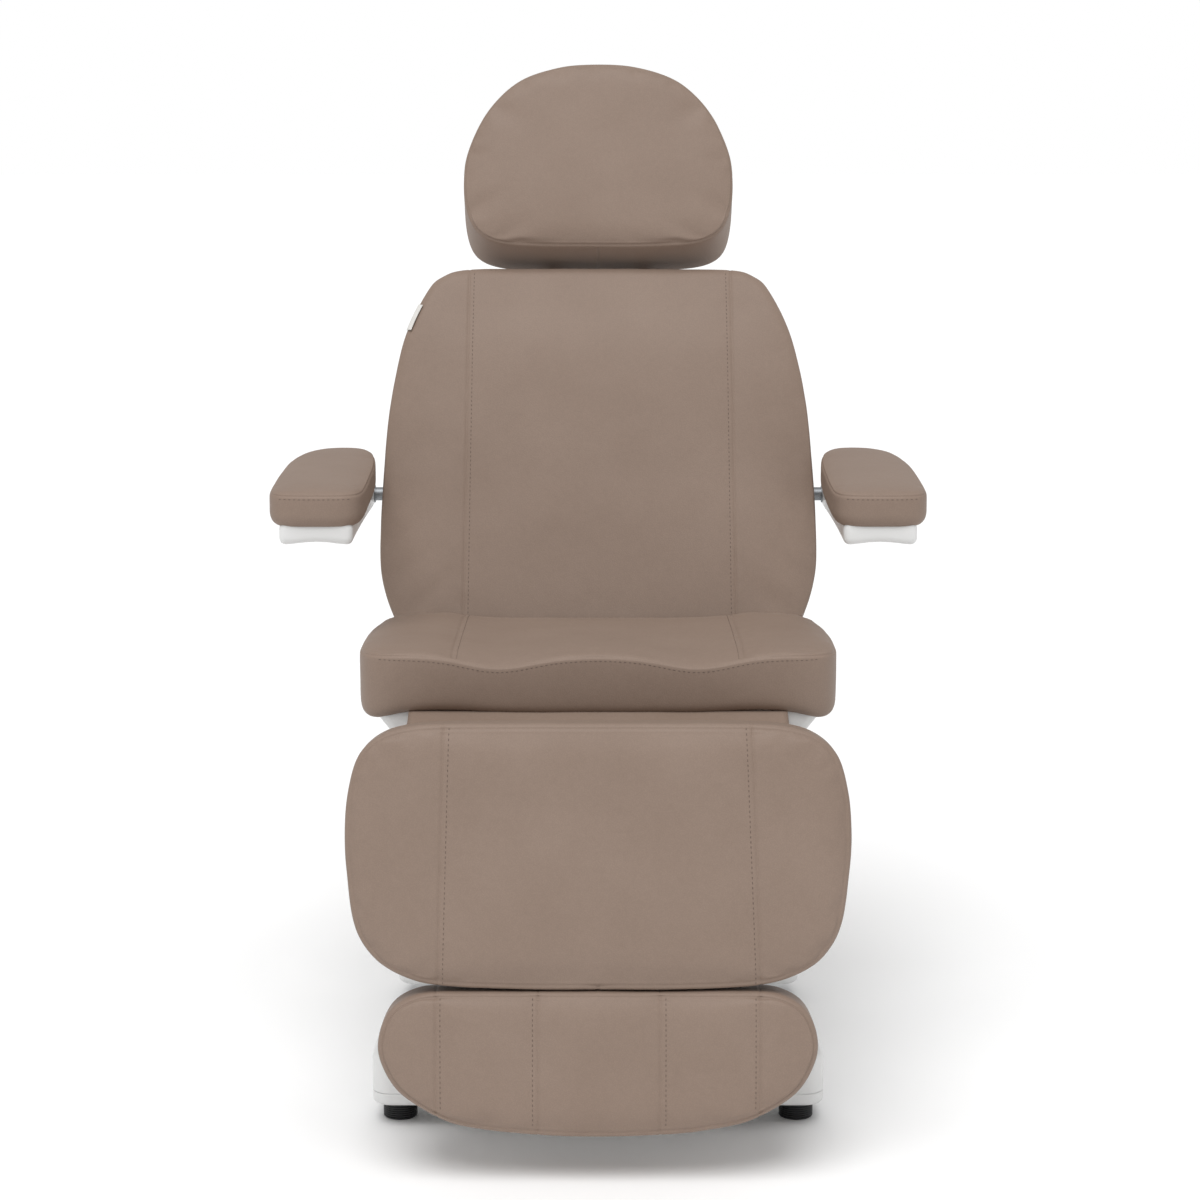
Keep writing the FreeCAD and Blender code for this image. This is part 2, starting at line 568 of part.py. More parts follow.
def back_parts():
    rear = "back_foam - back_face"
    panel = f"{rear} + back_board"
    rail = f"{panel} + back_rail_depth"
    toe = "0 - back_toe"
    top = "back_length - back_toe"
    foot = "back_board_foot - back_toe"
    shape = [("back_foot_half", toe), ("back_waist_half", f"{toe} + back_waist_low"),
             ("back_waist_half", f"{toe} + back_waist_high"),
             ("back_shoulder_half", f"{top} - back_shoulder_drop"), ("back_crown_half", top)]
    cushion = plate("back_cushion", "XZ_Plane", sides(shape), ["-back_face", rear])
    soften(cushion, runs_along("y"), "pad_round")
    thin = "back_toe_thick - back_face"
    clear = f"{rear} + back_toe"
    wedge = [(thin, toe), (rear, f"{toe} + back_taper"), (clear, f"{toe} + back_taper"),
             (clear, f"{toe} - back_toe"), (thin, f"{toe} - back_toe")]
    pocket(cushion, "YZ_Plane", wedge, "0", "0", through=True)
    node(cushion, frame="back")

    inset = "back_board_inset"
    shape = [(f"back_waist_half - {inset}", foot), (f"back_waist_half - {inset}", f"{toe} + back_waist_high"),
             (f"back_shoulder_half - {inset}", f"{top} - back_shoulder_drop"),
             (f"back_crown_half - {inset}", f"{top} - {inset}")]
    node(plate("back_panel", "XZ_Plane", sides(shape), [rear, panel]), frame="back")

    depth = [panel, rail]
    bar = tube("back_rail", [rail_in, rail_out], depth, [foot, f"{top} - back_rail_top_drop"],
               "rail_wall", "z")
    low = f"{rail_in} + 2 * side_gap + bracket_thick"
    ear = [("-knuckle", "-knuckle"), ("knuckle", "-knuckle"), (rail, f"{foot} - knuckle"), (rail, foot),
           (panel, foot), ("0", "knuckle"), ("-knuckle", "0")]
    lug = plate("back_lug", "YZ_Plane", ear, [low, f"{low} + bracket_thick"],
                [("0", "0", "back_pin_radius + fit_gap")])
    node(both("back_rails", fuse("back_rail_lug", bar, lug)), frame="back")
    crosses = [tube("back_cross_" + tag, [f"-({rail_in})", rail_in], depth, [z, f"{z} + back_cross_height"],
                    "rail_wall", "x") for tag, z in (("lower", foot), ("upper", "back_cross_upper"))]
    node(group("back_cross_tubes", *crosses), frame="back")

    axis = (f"{rail} + arm_clamp_depth / 2", "arm_bar_up")
    ends = "arm_outer - arm_shell_inset_out"
    shaft = rod("armrest_shaft", "x", "arm_bar_radius", [f"-({ends})", ends], *axis)
    node(group("armrest_bar", shaft), frame="back")
    clamp = box("bar_clamp_block", [rail_in, rail_out], [rail, f"{rail} + arm_clamp_depth"],
                ["arm_bar_up - arm_clamp_depth / 2", "arm_bar_up + arm_clamp_depth / 2"])
    bore = rod("bar_clamp_bore", "x", "arm_bar_radius + fit_gap", [rail_in, rail_out], *axis)
    node(both("bar_clamps", cut("bar_clamp", clamp, bore)), frame="back")


def head_parts():
    rear = "back_foam - back_face"
    panel = f"{rear} + back_board"
    top = "back_length - back_toe"
    bush = "head_post_radius + fit_gap"
    sleeve = f"{bush} + head_guide_wall"
    shell = f"{sleeve} + head_guide_wall"
    side = "head_post_spacing / 2"
    post_y = f"{panel} + head_guide_back + {shell}"
    high = f"{top} - head_yoke_half"
    low = f"{high} - head_guide_length"
    flat = box("guide_back", [f"-({side} + {shell})", f"{side} + {shell}"],
               [panel, f"{panel} + head_guide_back"], [low, high])
    pipe = rod("guide_pipe", "z", shell, [low, high], side, post_y)
    bore = rod("guide_bore", "z", f"{sleeve} + fit_gap", [low, high], side, post_y)
    other = mirror("guide_pipe_left", pipe)
    solid = fuse("guide_solid", flat, pipe, other)
    node(cut("headrest_guides", solid, bore, mirror("guide_bore_left", bore)), frame="back")
    bottom = f"{high} - head_bush_length"
    rim = f"{high} + head_bush_lip"
    ring = fuse("bush_solid", rod("bush_sleeve", "z", sleeve, [bottom, high], side, post_y),
                rod("bush_rim", "z", shell, [high, rim], side, post_y))
    bore = rod("bush_bore", "z", bush, [bottom, rim], side, post_y)
    node(both("headrest_guide_bushes", cut("headrest_guide_bush", ring, bore)), frame="back")

    start = f"{top} + head_gap"
    axis_z = f"{start} + head_hinge_rise"
    under = f"{axis_z} - head_yoke_half"
    post = rod("headrest_post", "z", "head_post_radius", [f"{under} - head_post_length", under], side, post_y)
    block = box("yoke_block", [f"{side} - {shell}", f"{side} + {shell}"],
                [f"{post_y} - head_yoke_half", f"{post_y} + head_yoke_half"],
                [under, f"{axis_z} + head_yoke_half"])
    bar = rod("yoke_bar", "x", "head_post_radius", [f"-({side})", side], post_y, axis_z)
    pair = [mirror("yoke_block_left", block), mirror("headrest_post_left", post)]
    node(fuse("headrest_yoke", block, bar, post, *pair), frame="back")

    face = "-back_face"
    foam = "head_foam - back_face"
    board = f"{foam} + head_board"
    centre = f"{start} + head_straight"

    def rounded(name, half, low_z, depth):
        # A straight lower band under a half-round top.
        straight = box(name + "_straight", [f"-({half})", half], depth, [low_z, centre])
        arch = doc.addObject("Part::Cylinder", name + "_arch")
        arch.Angle = 180
        arch.Placement = Placement(Vector(), Rotation(ACROSS, 90))
        bind(arch, "Radius", half)
        bind(arch, "Height", f"({depth[1]}) - ({depth[0]})")
        spot(arch, "0", depth[1], centre)
        return fuse(name, straight, arch)

    node(rounded("headrest_cushion", "head_half_width", start, [face, foam]), frame="back")
    edge = f"{start} + head_board_inset"
    node(rounded("headrest_panel", "head_half_width - head_board_inset", edge, [foam, board]), frame="back")
    outer = f"{board} + head_plate_thick"
    base = box("head_plate", ["-head_plate_half", "head_plate_half"], [board, outer],
               [edge, f"{edge} + head_plate_height"])
    tip = f"{post_y} + knuckle"
    ear = [(outer, f"{axis_z} - knuckle + side_gap"), (tip, f"{axis_z} - knuckle"),
           (tip, f"{axis_z} + knuckle"), (outer, f"{axis_z} + 2 * knuckle")]
    lug = plate("head_lug", "YZ_Plane", ear, ["head_lug_half - head_lug_thick", "head_lug_half"],
                [(post_y, axis_z, "head_post_radius + fit_gap")])
    node(fuse("headrest_hinge", base, lug, mirror("head_lug_left", lug)), frame="back")


def arm_parts():
    turn = "recline * 1 deg"
    depth = "(back_foam - back_face + back_board + back_rail_depth + arm_clamp_depth / 2)"
    axis_y = f"{back_y} + {depth} * cos({turn}) + arm_bar_up * sin({turn})"
    axis_z = f"{back_z} - {depth} * sin({turn}) + arm_bar_up * cos({turn})"
    top = f"{axis_z} + arm_rise"
    under = f"{top} - arm_foam"
    front = f"{axis_y} - arm_reach"
    inside = "arm_inner + arm_shell_inset_in"
    outside = "arm_outer - arm_shell_inset_out"
    bulge = "arm_hub_round"
    side = [(f"{front} + arm_shell_wall", under), (f"{front} + arm_shell_wall", f"{under} - arm_shell_front"),
            (axis_y, f"{axis_z} - {bulge}"), (f"{axis_y} + {bulge}", axis_z),
            (axis_y, f"{axis_z} + {bulge}"),
            (f"{front} + arm_length - arm_shell_wall", under)]
    shell = plate("arm_shell", "YZ_Plane", side, [inside, outside],
                  [(axis_y, axis_z, "arm_hub_radius + fit_gap")])
    low_x = f"{inside} + arm_shell_wall"
    high_x = f"{outside} - arm_shell_wall"
    low_y = f"{front} + 2 * arm_shell_wall"
    high_y = f"{front} + arm_length - 4 * arm_shell_wall"
    pocket(shell, "XY_Plane", [(low_x, low_y), (high_x, low_y), (high_x, high_y), (low_x, high_y)],
           under, "arm_shell_front - arm_shell_wall")
    plan = [("arm_inner", front), ("arm_outer", front), ("arm_outer", f"{front} + arm_length"),
            ("arm_inner", f"{front} + arm_length")]
    pad = plate("arm_pad", "XY_Plane", plan, [under, top])
    soften(pad, runs_along("z"), "arm_round")
    hub = cut("arm_hub", rod("arm_hub_solid", "x", "arm_hub_radius", [inside, outside], axis_y, axis_z),
              rod("arm_hub_bore", "x", "arm_bar_radius + fit_gap", [inside, outside], axis_y, axis_z))
    for piece, label in ((shell, "shell"), (pad, "pad"), (hub, "hub")):
        node(piece, f"armrest_{label}_right")
        node(mirror(f"arm_{label}_left", piece), f"armrest_{label}_left")


def leg_parts():
    face = "leg_face"
    under = "leg_face - leg_foam"
    board = f"{under} - leg_board"
    rail = f"{board} - leg_rail_height"
    toe = "leg_heel - leg_length"
    low = f"{rail_in} + side_gap"

    def shape(inset):
        return sides([(f"leg_toe_half - {inset}", f"{toe} + {inset}"),
                      (f"leg_half_width - {inset}", f"{toe} + 2 * leg_shoulder"),
                      (f"leg_half_width - {inset}", "leg_heel - 2 * leg_shoulder / 3"),
                      (f"leg_top_half - {inset}", f"leg_heel - {inset}")])

    cushion = plate("leg_cushion", "XY_Plane", shape("0"), [under, face])
    soften(cushion, runs_along("z"), "pad_round")
    node(cushion, frame="leg")
    node(plate("leg_panel", "XY_Plane", shape("leg_board_inset"), [board, under]), frame="leg")

    wide = f"{low} + rail_width"
    bar = tube("leg_rail", [low, wide], [f"{toe} + leg_rail_stop", "-leg_rail_start"], [rail, board],
               "rail_wall", "y")
    tail = "0 - leg_rail_start - leg_lug_overlap"
    ear = [(tail, "-knuckle"), ("knuckle", "-knuckle"), ("knuckle", "knuckle"), (tail, "knuckle")]
    lug = plate("leg_lug", "YZ_Plane", ear, [low, f"{low} + bracket_thick"],
                [("0", "0", "leg_pin_radius + fit_gap")])
    node(both("leg_rails", fuse("leg_rail_lug", bar, lug)), frame="leg")
    crosses = []
    for start in ("leg_cross_first", "leg_cross_last"):
        crosses.append(box(start + "_bar", [f"-({wide})", wide],
                           [f"0 - {start} - leg_cross_width", f"0 - {start}"],
                           [f"{rail} - leg_cross_thick", rail]))
    node(group("leg_cross_bars", *crosses), frame="leg")

    axis_z = f"{board} - leg_rail_height / 2"
    side = "foot_rod_spacing / 2"
    length = [f"{toe} + foot_gap", "-foot_guide_start"]
    block = box("foot_guide_block", [f"{side} - leg_rail_height / 2", f"{side} + leg_rail_height / 2"],
                length, [rail, board])
    bore = rod("foot_guide_bore", "y", "foot_rod_radius + fit_gap", length, side, axis_z)
    node(both("footrest_guides", cut("footrest_guide", block, bore)), frame="leg")

    start = f"{toe} - foot_gap"
    end = f"{start} - foot_length"
    reach = f"{end} + foot_plate_inset"
    slider = rod("footrest_rod", "y", "foot_rod_radius", [reach, "-foot_rod_start"], side, axis_z)
    node(both("footrest_rods", slider), frame="leg")
    flat = box("footrest_flat", ["-foot_plate_half", "foot_plate_half"],
               [reach, f"{start} - foot_plate_inset"], [f"{axis_z} + foot_rod_radius", board])
    node(group("footrest_plate", flat), frame="leg")

    def pad_shape(inset):
        return sides([(f"foot_toe_half - {inset}", f"{end} + {inset}"),
                      (f"foot_half_width - {inset}", f"{end} + 2 * foot_shoulder"),
                      (f"foot_top_half - {inset}", f"{start} - {inset}")])

    cushion = plate("footrest_cushion", "XY_Plane", pad_shape("0"), [under, face])
    soften(cushion, runs_along("z"), "foot_round")
    node(cushion, frame="leg")
    node(plate("footrest_panel", "XY_Plane", pad_shape("foot_board_inset"), [board, under]), frame="leg")


base_parts()
base_shell()
column_parts()
seat_parts()
hinge_parts()
drive_parts()
back_parts()
head_parts()
arm_parts()
leg_parts()
doc.recompute()

for item in doc.Objects:
    if "Invalid" in item.State or "Error" in item.State:
        raise RuntimeError(f"{item.Name} did not build: {item.State}")
for item in nodes:
    if item.Shape.isNull() or not item.Shape.isValid() or not item.Shape.Solids:
        raise RuntimeError(f"{item.Label} has no sound solid")

os.makedirs("parts", exist_ok=True)
for item in nodes:
    item.Shape.exportStep(f"parts/{item.Label}.step")
print(f"{len(nodes)} nodes written")
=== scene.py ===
import json
import math

import bpy
from mathutils import Matrix, Vector, noise
from mathutils.bvhtree import BVHTree


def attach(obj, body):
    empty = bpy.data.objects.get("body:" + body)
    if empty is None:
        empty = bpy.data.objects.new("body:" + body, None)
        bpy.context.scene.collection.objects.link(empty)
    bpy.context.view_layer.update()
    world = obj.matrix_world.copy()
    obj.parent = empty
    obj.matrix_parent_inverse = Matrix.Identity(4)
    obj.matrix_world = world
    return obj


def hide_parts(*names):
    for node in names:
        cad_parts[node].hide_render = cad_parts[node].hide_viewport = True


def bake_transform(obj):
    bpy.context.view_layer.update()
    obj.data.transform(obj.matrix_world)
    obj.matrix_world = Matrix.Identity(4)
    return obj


# Electric beauty chair, dressed round its CAD frame. Sizes in the dictionaries are millimetres.
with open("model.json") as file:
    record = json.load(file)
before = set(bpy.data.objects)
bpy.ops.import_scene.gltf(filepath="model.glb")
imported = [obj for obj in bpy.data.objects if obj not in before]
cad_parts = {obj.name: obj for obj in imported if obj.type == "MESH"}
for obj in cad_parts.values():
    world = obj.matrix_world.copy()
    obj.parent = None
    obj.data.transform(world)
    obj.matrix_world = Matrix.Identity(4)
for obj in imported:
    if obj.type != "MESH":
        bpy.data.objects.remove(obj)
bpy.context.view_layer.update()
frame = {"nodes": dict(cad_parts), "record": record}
nodes = frame["nodes"]
mm = 0.001


# Selecting and finishing, as by hand

def letGo():
    if bpy.context.object and bpy.context.object.mode != "OBJECT":
        bpy.ops.object.mode_set(mode="OBJECT")
    bpy.ops.object.select_all(action="DESELECT")


def takeUp(piece):
    letGo()
    piece.select_set(True)
    bpy.context.view_layer.objects.active = piece


def openMesh(piece):
    takeUp(piece)
    bpy.ops.object.mode_set(mode="EDIT")


def closeMesh():
    bpy.ops.object.mode_set(mode="OBJECT")


def started(name):
    # the object that the last operator left active, under its own name
    piece = bpy.context.object
    piece.name = name
    piece.data.name = name
    return piece


def chosen(piece, test, kind="FACE"):
    # leaves the piece in edit mode with the elements that pass the test selected
    openMesh(piece)
    bpy.ops.mesh.select_mode(type=kind)
    bpy.ops.mesh.select_all(action="DESELECT")
    closeMesh()
    groups = {"FACE": piece.data.polygons, "EDGE": piece.data.edges, "VERT": piece.data.vertices}
    for element in groups[kind]:
        element.select = bool(test(element))
    bpy.ops.object.mode_set(mode="EDIT")


def facesOut(piece):
    openMesh(piece)
    bpy.ops.mesh.select_all(action="SELECT")
    bpy.ops.mesh.normals_make_consistent(inside=False)
    closeMesh()


def settle(piece):
    # place into the mesh, object at the origin
    takeUp(piece)
    bpy.ops.object.transform_apply(location=True, rotation=True, scale=True)


def useModifier(piece, kind, **settings):
    takeUp(piece)
    step = piece.modifiers.new(kind.lower(), kind)
    for key, value in settings.items():
        setattr(step, key, value)
    bpy.ops.object.modifier_apply(modifier=step.name)


def smoothed(piece):
    takeUp(piece)
    bpy.ops.object.shade_smooth()


def smoothedFlats(piece):
    # soft over the rounded edges, flat faces stay flat
    takeUp(piece)
    bpy.ops.object.shade_smooth_by_angle(angle=math.radians(35))


def joined(pieces, name):
    letGo()
    for piece in pieces:
        piece.select_set(True)
    bpy.context.view_layer.objects.active = pieces[0]
    bpy.ops.object.join()
    return started(name)


def dressed(piece, body, finish, instead=()):
    piece.data.materials.clear()
    piece.data.materials.append(finish)
    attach(piece, body)
    if instead:
        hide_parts(*instead)
    return piece


# Curves that shape the pieces

def portion(value, start, stop):
    # how far the value has come from start to stop, 0 to 1
    return min(1, max(0, (value - start) / (stop - start)))


def hump(value, middle, wide):
    return math.exp(-((value - middle) / wide) ** 2)


def softStep(value, middle, wide):
    return 1 / (1 + math.exp(-(value - middle) / wide))


# Finishes

def linear(code):
    # sRGB hex value to a linear colour
    levels = [int(code[start:start + 2], 16) / 255 for start in (1, 3, 5)]
    return [c / 12.92 if c <= 0.04045 else ((c + 0.055) / 1.055) ** 2.4 for c in levels] + [1]


def feed(tree, node, links):
    for key, source in links.items():
        tree.links.new(source, node.inputs[key])


def addNode(tree, kind, settings, links=()):
    made = tree.nodes.new(kind)
    for key, value in settings.items():
        if isinstance(key, int) or key in made.inputs:
            made.inputs[key].default_value = value
        else:
            setattr(made, key, value)
    feed(tree, made, dict(links))
    return made


def newFinish(name, settings):
    finish = bpy.data.materials.new(name)
    finish.use_nodes = True
    tree = finish.node_tree
    shader = tree.nodes["Principled BSDF"]
    for key, value in settings.items():
        shader.inputs[key].default_value = value
    place = addNode(tree, "ShaderNodeTexCoord", {}).outputs["Object"]
    return finish, tree, shader, place


def perSize(size):
    # noise and cell scale that gives features of this size in millimetres
    return 1000 / size


def leatherette(name, pale, deep):
    # PVC leatherette, embossed with a fine calf grain and waxed to a satin:
    # soft broad highlights, faint mottling and painted shade in the creases of the grain
    look = {"grain": 1.7, "pore": 0.9, "mottle": 120, "cloud": 9, "cloudShare": 0.35,
            "bump": 0.16, "bumpHigh": 0.6, "roughLow": 0.5, "roughHigh": 0.62}
    finish, tree, shader, place = newFinish(name, {"IOR": 1.45, "Specular IOR Level": 0.32})
    broad = addNode(tree, "ShaderNodeTexNoise", {"Scale": perSize(look["mottle"]), "Detail": 3},
                    {"Vector": place})
    fine = addNode(tree, "ShaderNodeTexNoise", {"Scale": perSize(look["cloud"]), "Detail": 4},
                   {"Vector": place})
    both = addNode(tree, "ShaderNodeMix", {0: look["cloudShare"]},
                   {2: broad.outputs["Fac"], 3: fine.outputs["Fac"]})
    tint = addNode(tree, "ShaderNodeMapRange", {"From Min": 0.3, "From Max": 0.7},
                   {"Value": both.outputs[0]})
    colour = addNode(tree, "ShaderNodeMix", {"data_type": "RGBA", 6: linear(deep), 7: linear(pale)},
                     {0: tint.outputs[0]})
    # the real grain is about 1 mm; it is drawn at 1.7 mm so that it shows
    cells = addNode(tree, "ShaderNodeTexVoronoi", {"Scale": perSize(look["grain"])}, {"Vector": place})
    # the borders of the grain cells are darkened down to 0.9: painted shade in the creases of the grain
    pore = addNode(tree, "ShaderNodeMapRange", {"From Max": 0.6, "To Min": 1.0, "To Max": look["pore"]},
                   {"Value": cells.outputs["Distance"]})
    shade = addNode(tree, "ShaderNodeMix", {"data_type": "RGBA", "blend_type": "MULTIPLY", 0: 1.0},
                    {6: colour.outputs[2], 7: pore.outputs[0]})
    rough = addNode(tree, "ShaderNodeMapRange",
                    {"To Min": look["roughLow"], "To Max": look["roughHigh"]},
                    {"Value": fine.outputs["Fac"]})
    bump = addNode(tree, "ShaderNodeBump",
                   {"Strength": look["bump"], "Distance": look["bumpHigh"] * mm, "invert": True},
                   {"Height": cells.outputs["Distance"]})
    feed(tree, shader, {"Base Color": shade.outputs[2], "Roughness": rough.outputs[0],
                        "Normal": bump.outputs[0]})
    return finish


def mouldedPlastic(name, pale, deep, rough=0.32):
    # ABS, injection moulded in a spark-eroded tool: clean satin with a faint pebble
    # and very slight flow marks; nylon and rubber are the same with more roughness
    look = {"pebble": 1.1, "flow": 160, "bump": 0.08, "bumpHigh": 0.3, "smoother": 0.05, "rougher": 0.07}
    finish, tree, shader, place = newFinish(name, {"IOR": 1.53, "Coat Weight": 0.1, "Coat Roughness": 0.15})
    flow = addNode(tree, "ShaderNodeTexNoise", {"Scale": perSize(look["flow"]), "Detail": 2},
                   {"Vector": place})
    colour = addNode(tree, "ShaderNodeMix", {"data_type": "RGBA", 6: linear(deep), 7: linear(pale)},
                     {0: flow.outputs["Fac"]})
    # the real pebble is finer; it is drawn at 1.1 mm so that it shows
    pebble = addNode(tree, "ShaderNodeTexNoise", {"Scale": perSize(look["pebble"]), "Detail": 1},
                     {"Vector": place})
    gloss = addNode(tree, "ShaderNodeMapRange",
                    {"To Min": rough - look["smoother"], "To Max": rough + look["rougher"]},
                    {"Value": pebble.outputs["Fac"]})
    bump = addNode(tree, "ShaderNodeBump", {"Strength": look["bump"], "Distance": look["bumpHigh"] * mm},
                   {"Height": pebble.outputs["Fac"]})
    feed(tree, shader, {"Base Color": colour.outputs[2], "Roughness": gloss.outputs[0],
                        "Normal": bump.outputs[0]})
    return finish


def coatedSteel(name, pale, deep):
    # mild steel, powder coated: dull colour with an orange-peel skin
    look = {"peel": 2.4, "cloud": 60, "bump": 0.2, "bumpHigh": 0.4, "roughLow": 0.38, "roughHigh": 0.55}
    finish, tree, shader, place = newFinish(name, {"IOR": 1.5})
    cloud = addNode(tree, "ShaderNodeTexNoise", {"Scale": perSize(look["cloud"]), "Detail": 3},
                    {"Vector": place})
    colour = addNode(tree, "ShaderNodeMix", {"data_type": "RGBA", 6: linear(deep), 7: linear(pale)},
                     {0: cloud.outputs["Fac"]})
    peel = addNode(tree, "ShaderNodeTexNoise", {"Scale": perSize(look["peel"]), "Detail": 2},
                   {"Vector": place})
    gloss = addNode(tree, "ShaderNodeMapRange",
                    {"To Min": look["roughLow"], "To Max": look["roughHigh"]},
                    {"Value": cloud.outputs["Fac"]})
    bump = addNode(tree, "ShaderNodeBump", {"Strength": look["bump"], "Distance": look["bumpHigh"] * mm},
                   {"Height": peel.outputs["Fac"]})
    feed(tree, shader, {"Base Color": colour.outputs[2], "Roughness": gloss.outputs[0],
                        "Normal": bump.outputs[0]})
    return finish


def brightSteel(name, pale, deep):
    # carbon steel bar, ground and satin chromed: grey metal with fine lines round the bar
    look = {"line": 0.9, "along": 40, "bump": 0.05, "bumpHigh": 0.2, "roughLow": 0.42, "roughHigh": 0.58}
    finish, tree, shader, place = newFinish(name, {"Metallic": 1.0})
    # real grinding lines are finer; they are drawn at 0.9 mm so that they show
    stretch = (perSize(look["line"]), perSize(look["along"]), perSize(look["along"]))
    turned = addNode(tree, "ShaderNodeMapping", {"Scale": stretch}, {"Vector": place})
    lines = addNode(tree, "ShaderNodeTexNoise", {"Scale": 1.0, "Detail": 3}, {"Vector": turned.outputs[0]})
    colour = addNode(tree, "ShaderNodeMix", {"data_type": "RGBA", 6: linear(deep), 7: linear(pale)},
                     {0: lines.outputs["Fac"]})
    gloss = addNode(tree, "ShaderNodeMapRange",
                    {"To Min": look["roughLow"], "To Max": look["roughHigh"]},
                    {"Value": lines.outputs["Fac"]})
    bump = addNode(tree, "ShaderNodeBump", {"Strength": look["bump"], "Distance": look["bumpHigh"] * mm},
                   {"Height": lines.outputs["Fac"]})
    feed(tree, shader, {"Base Color": colour.outputs[2], "Roughness": gloss.outputs[0],
                        "Normal": bump.outputs[0]})
    return finish


taupeLeatherette = leatherette("taupe_leatherette", "#927f72", "#8b786b")
taupeThread = leatherette("taupe_thread", "#75655a", "#66574d")
wovenTag = leatherette("white_satin_tag", "#eceae6", "#dddad5")
whiteAbs = mouldedPlastic("white_abs", "#e0e0df", "#d8d8d7")
blackRubber = mouldedPlastic("black_rubber", "#17171a", "#0d0d0f", 0.55)
greyNylon = mouldedPlastic("grey_nylon", "#bdbdb8", "#b0b0ab", 0.45)
paleSteel = coatedSteel("pale_coated_steel", "#cfcdc9", "#c4c2be")
chromedSteel = brightSteel("chromed_steel", "#9c9fa2", "#808386")
print("finishes ready")


# Padded pieces: a sewn cover over cut foam

def bothHalves(half):
    # the right half of a cut line, from bottom to top, closed by its mirror image
    return half + [(-x, t) for x, t in reversed(half[1:-1])]


def roundOff(points, steps=16):
    # smooth closed run through the points
    count = len(points)
    run = []
    for index in range(count):
        a, b, c, d = (Vector(points[(index + shift) % count]) for shift in (-1, 0, 1, 2))
        for step in range(steps):
            t = step / steps
            run.append(0.5 * (2 * b + (c - a) * t + (2 * a - 5 * b + 4 * c - d) * t * t
                              + (3 * b - a - 3 * c + d) * t ** 3))
    return run


class SewnEdge:
    # the cut line of a cover, followed by distance along it
    def __init__(self, points):
        self.run = roundOff(points)
        self.at = [0]
        for a, b in zip(self.run, self.run[1:] + self.run[:1]):
            self.at.append(self.at[-1] + (b - a).length)
        self.length = self.at[-1]
        low = Vector([min(p[axis] for p in self.run) for axis in (0, 1)])
        high = Vector([max(p[axis] for p in self.run) for axis in (0, 1)])
        mid, size = (low + high) / 2, (high - low) / 2
        self.corners = []
        for sx, st in ((-1, -1), (1, -1), (1, 1), (-1, 1)):
            reach = [sx * (p.x - mid.x) / size.x + st * (p.y - mid.y) / size.y for p in self.run]
            self.corners.append(self.at[reach.index(max(reach))])

    def spot(self, along, inset):
        along %= self.length
        low, high = 0, len(self.at) - 1
        while high - low > 1:
            half = (low + high) // 2
            low, high = (half, high) if self.at[half] <= along else (low, half)
        count = len(self.run)
        a, b = self.run[low], self.run[(low + 1) % count]
        share = (along - self.at[low]) / max(self.at[low + 1] - self.at[low], 1e-9)
        before = (b - self.run[low - 1]).normalized()
        after = (self.run[(low + 2) % count] - a).normalized()
        way = before.lerp(after, share).normalized()
        return a.lerp(b, share) + Vector((-way.y, way.x)) * inset

    def side(self, number, share):
        start, stop = self.corners[number], self.corners[(number + 1) % 4]
        return start + ((stop - start) % self.length) * share


def panelSpot(edge, inset, u, v):
    # blends the four sides of the cut line across the panel
    bottom = edge.spot(edge.side(0, u), inset)
    right = edge.spot(edge.side(1, v), inset)
    top = edge.spot(edge.side(2, 1 - u), inset)
    left = edge.spot(edge.side(3, 1 - v), inset)
    c = [edge.spot(along, inset) for along in edge.corners]
    flat = (c[0] * (1 - u) + c[1] * u) * (1 - v) + (c[3] * (1 - u) + c[2] * u) * v
    return bottom * (1 - v) + top * v + left * (1 - u) + right * u - flat


coverCut = {"lip": 2.2, "underLap": 14, "fill": 0.85}


def rollRings(pad):
    # (inset, depth) of each ring, from the panel's edge over the seam, down the side band
    # and round to the underside
    roll, foot, thick = pad["roll"], pad["footRoll"], pad["thick"]
    seam, groove = pad["seamAt"], pad["groove"]
    spread = math.degrees(coverCut["lip"] / roll)
    turns = [(angle, 0) for angle in range(15, 91, 15) if abs(angle - seam) > 1.6 * spread]
    # the seam: flat, a raised lip, the groove, flat again
    turns += [(seam - spread, 0), (seam - 0.35 * spread, -0.6 * groove),
              (seam + 0.3 * spread, groove), (seam + spread, 0)]
    rings = []
    for angle, sink in sorted(turns):
        turn, reach = math.radians(angle), roll - sink
        rings.append((roll - reach * math.sin(turn), roll - reach * math.cos(turn)))
    band = thick - roll - foot
    rings += [(0, roll + band * step / 4) for step in (1, 2, 3, 4)]
    for angle in (30, 60, 90):
        turn = math.radians(angle)
        rings.append((foot - foot * math.cos(turn), thick - foot + foot * math.sin(turn)))
    return rings + [(foot + coverCut["underLap"], thick)]


def inOrder(blank):
    # extruding leaves the faces in an order that varies; a fixed one lets the cover swell alike each run
    points = [vertex.co.copy() for vertex in blank.data.vertices]
    faces = []
    for face in blank.data.polygons:
        loop = list(face.vertices)
        first = loop.index(min(loop))
        faces.append(loop[first:] + loop[:first])
    blank.data.clear_geometry()
    blank.data.from_pydata(points, [], sorted(faces))
    blank.data.update()


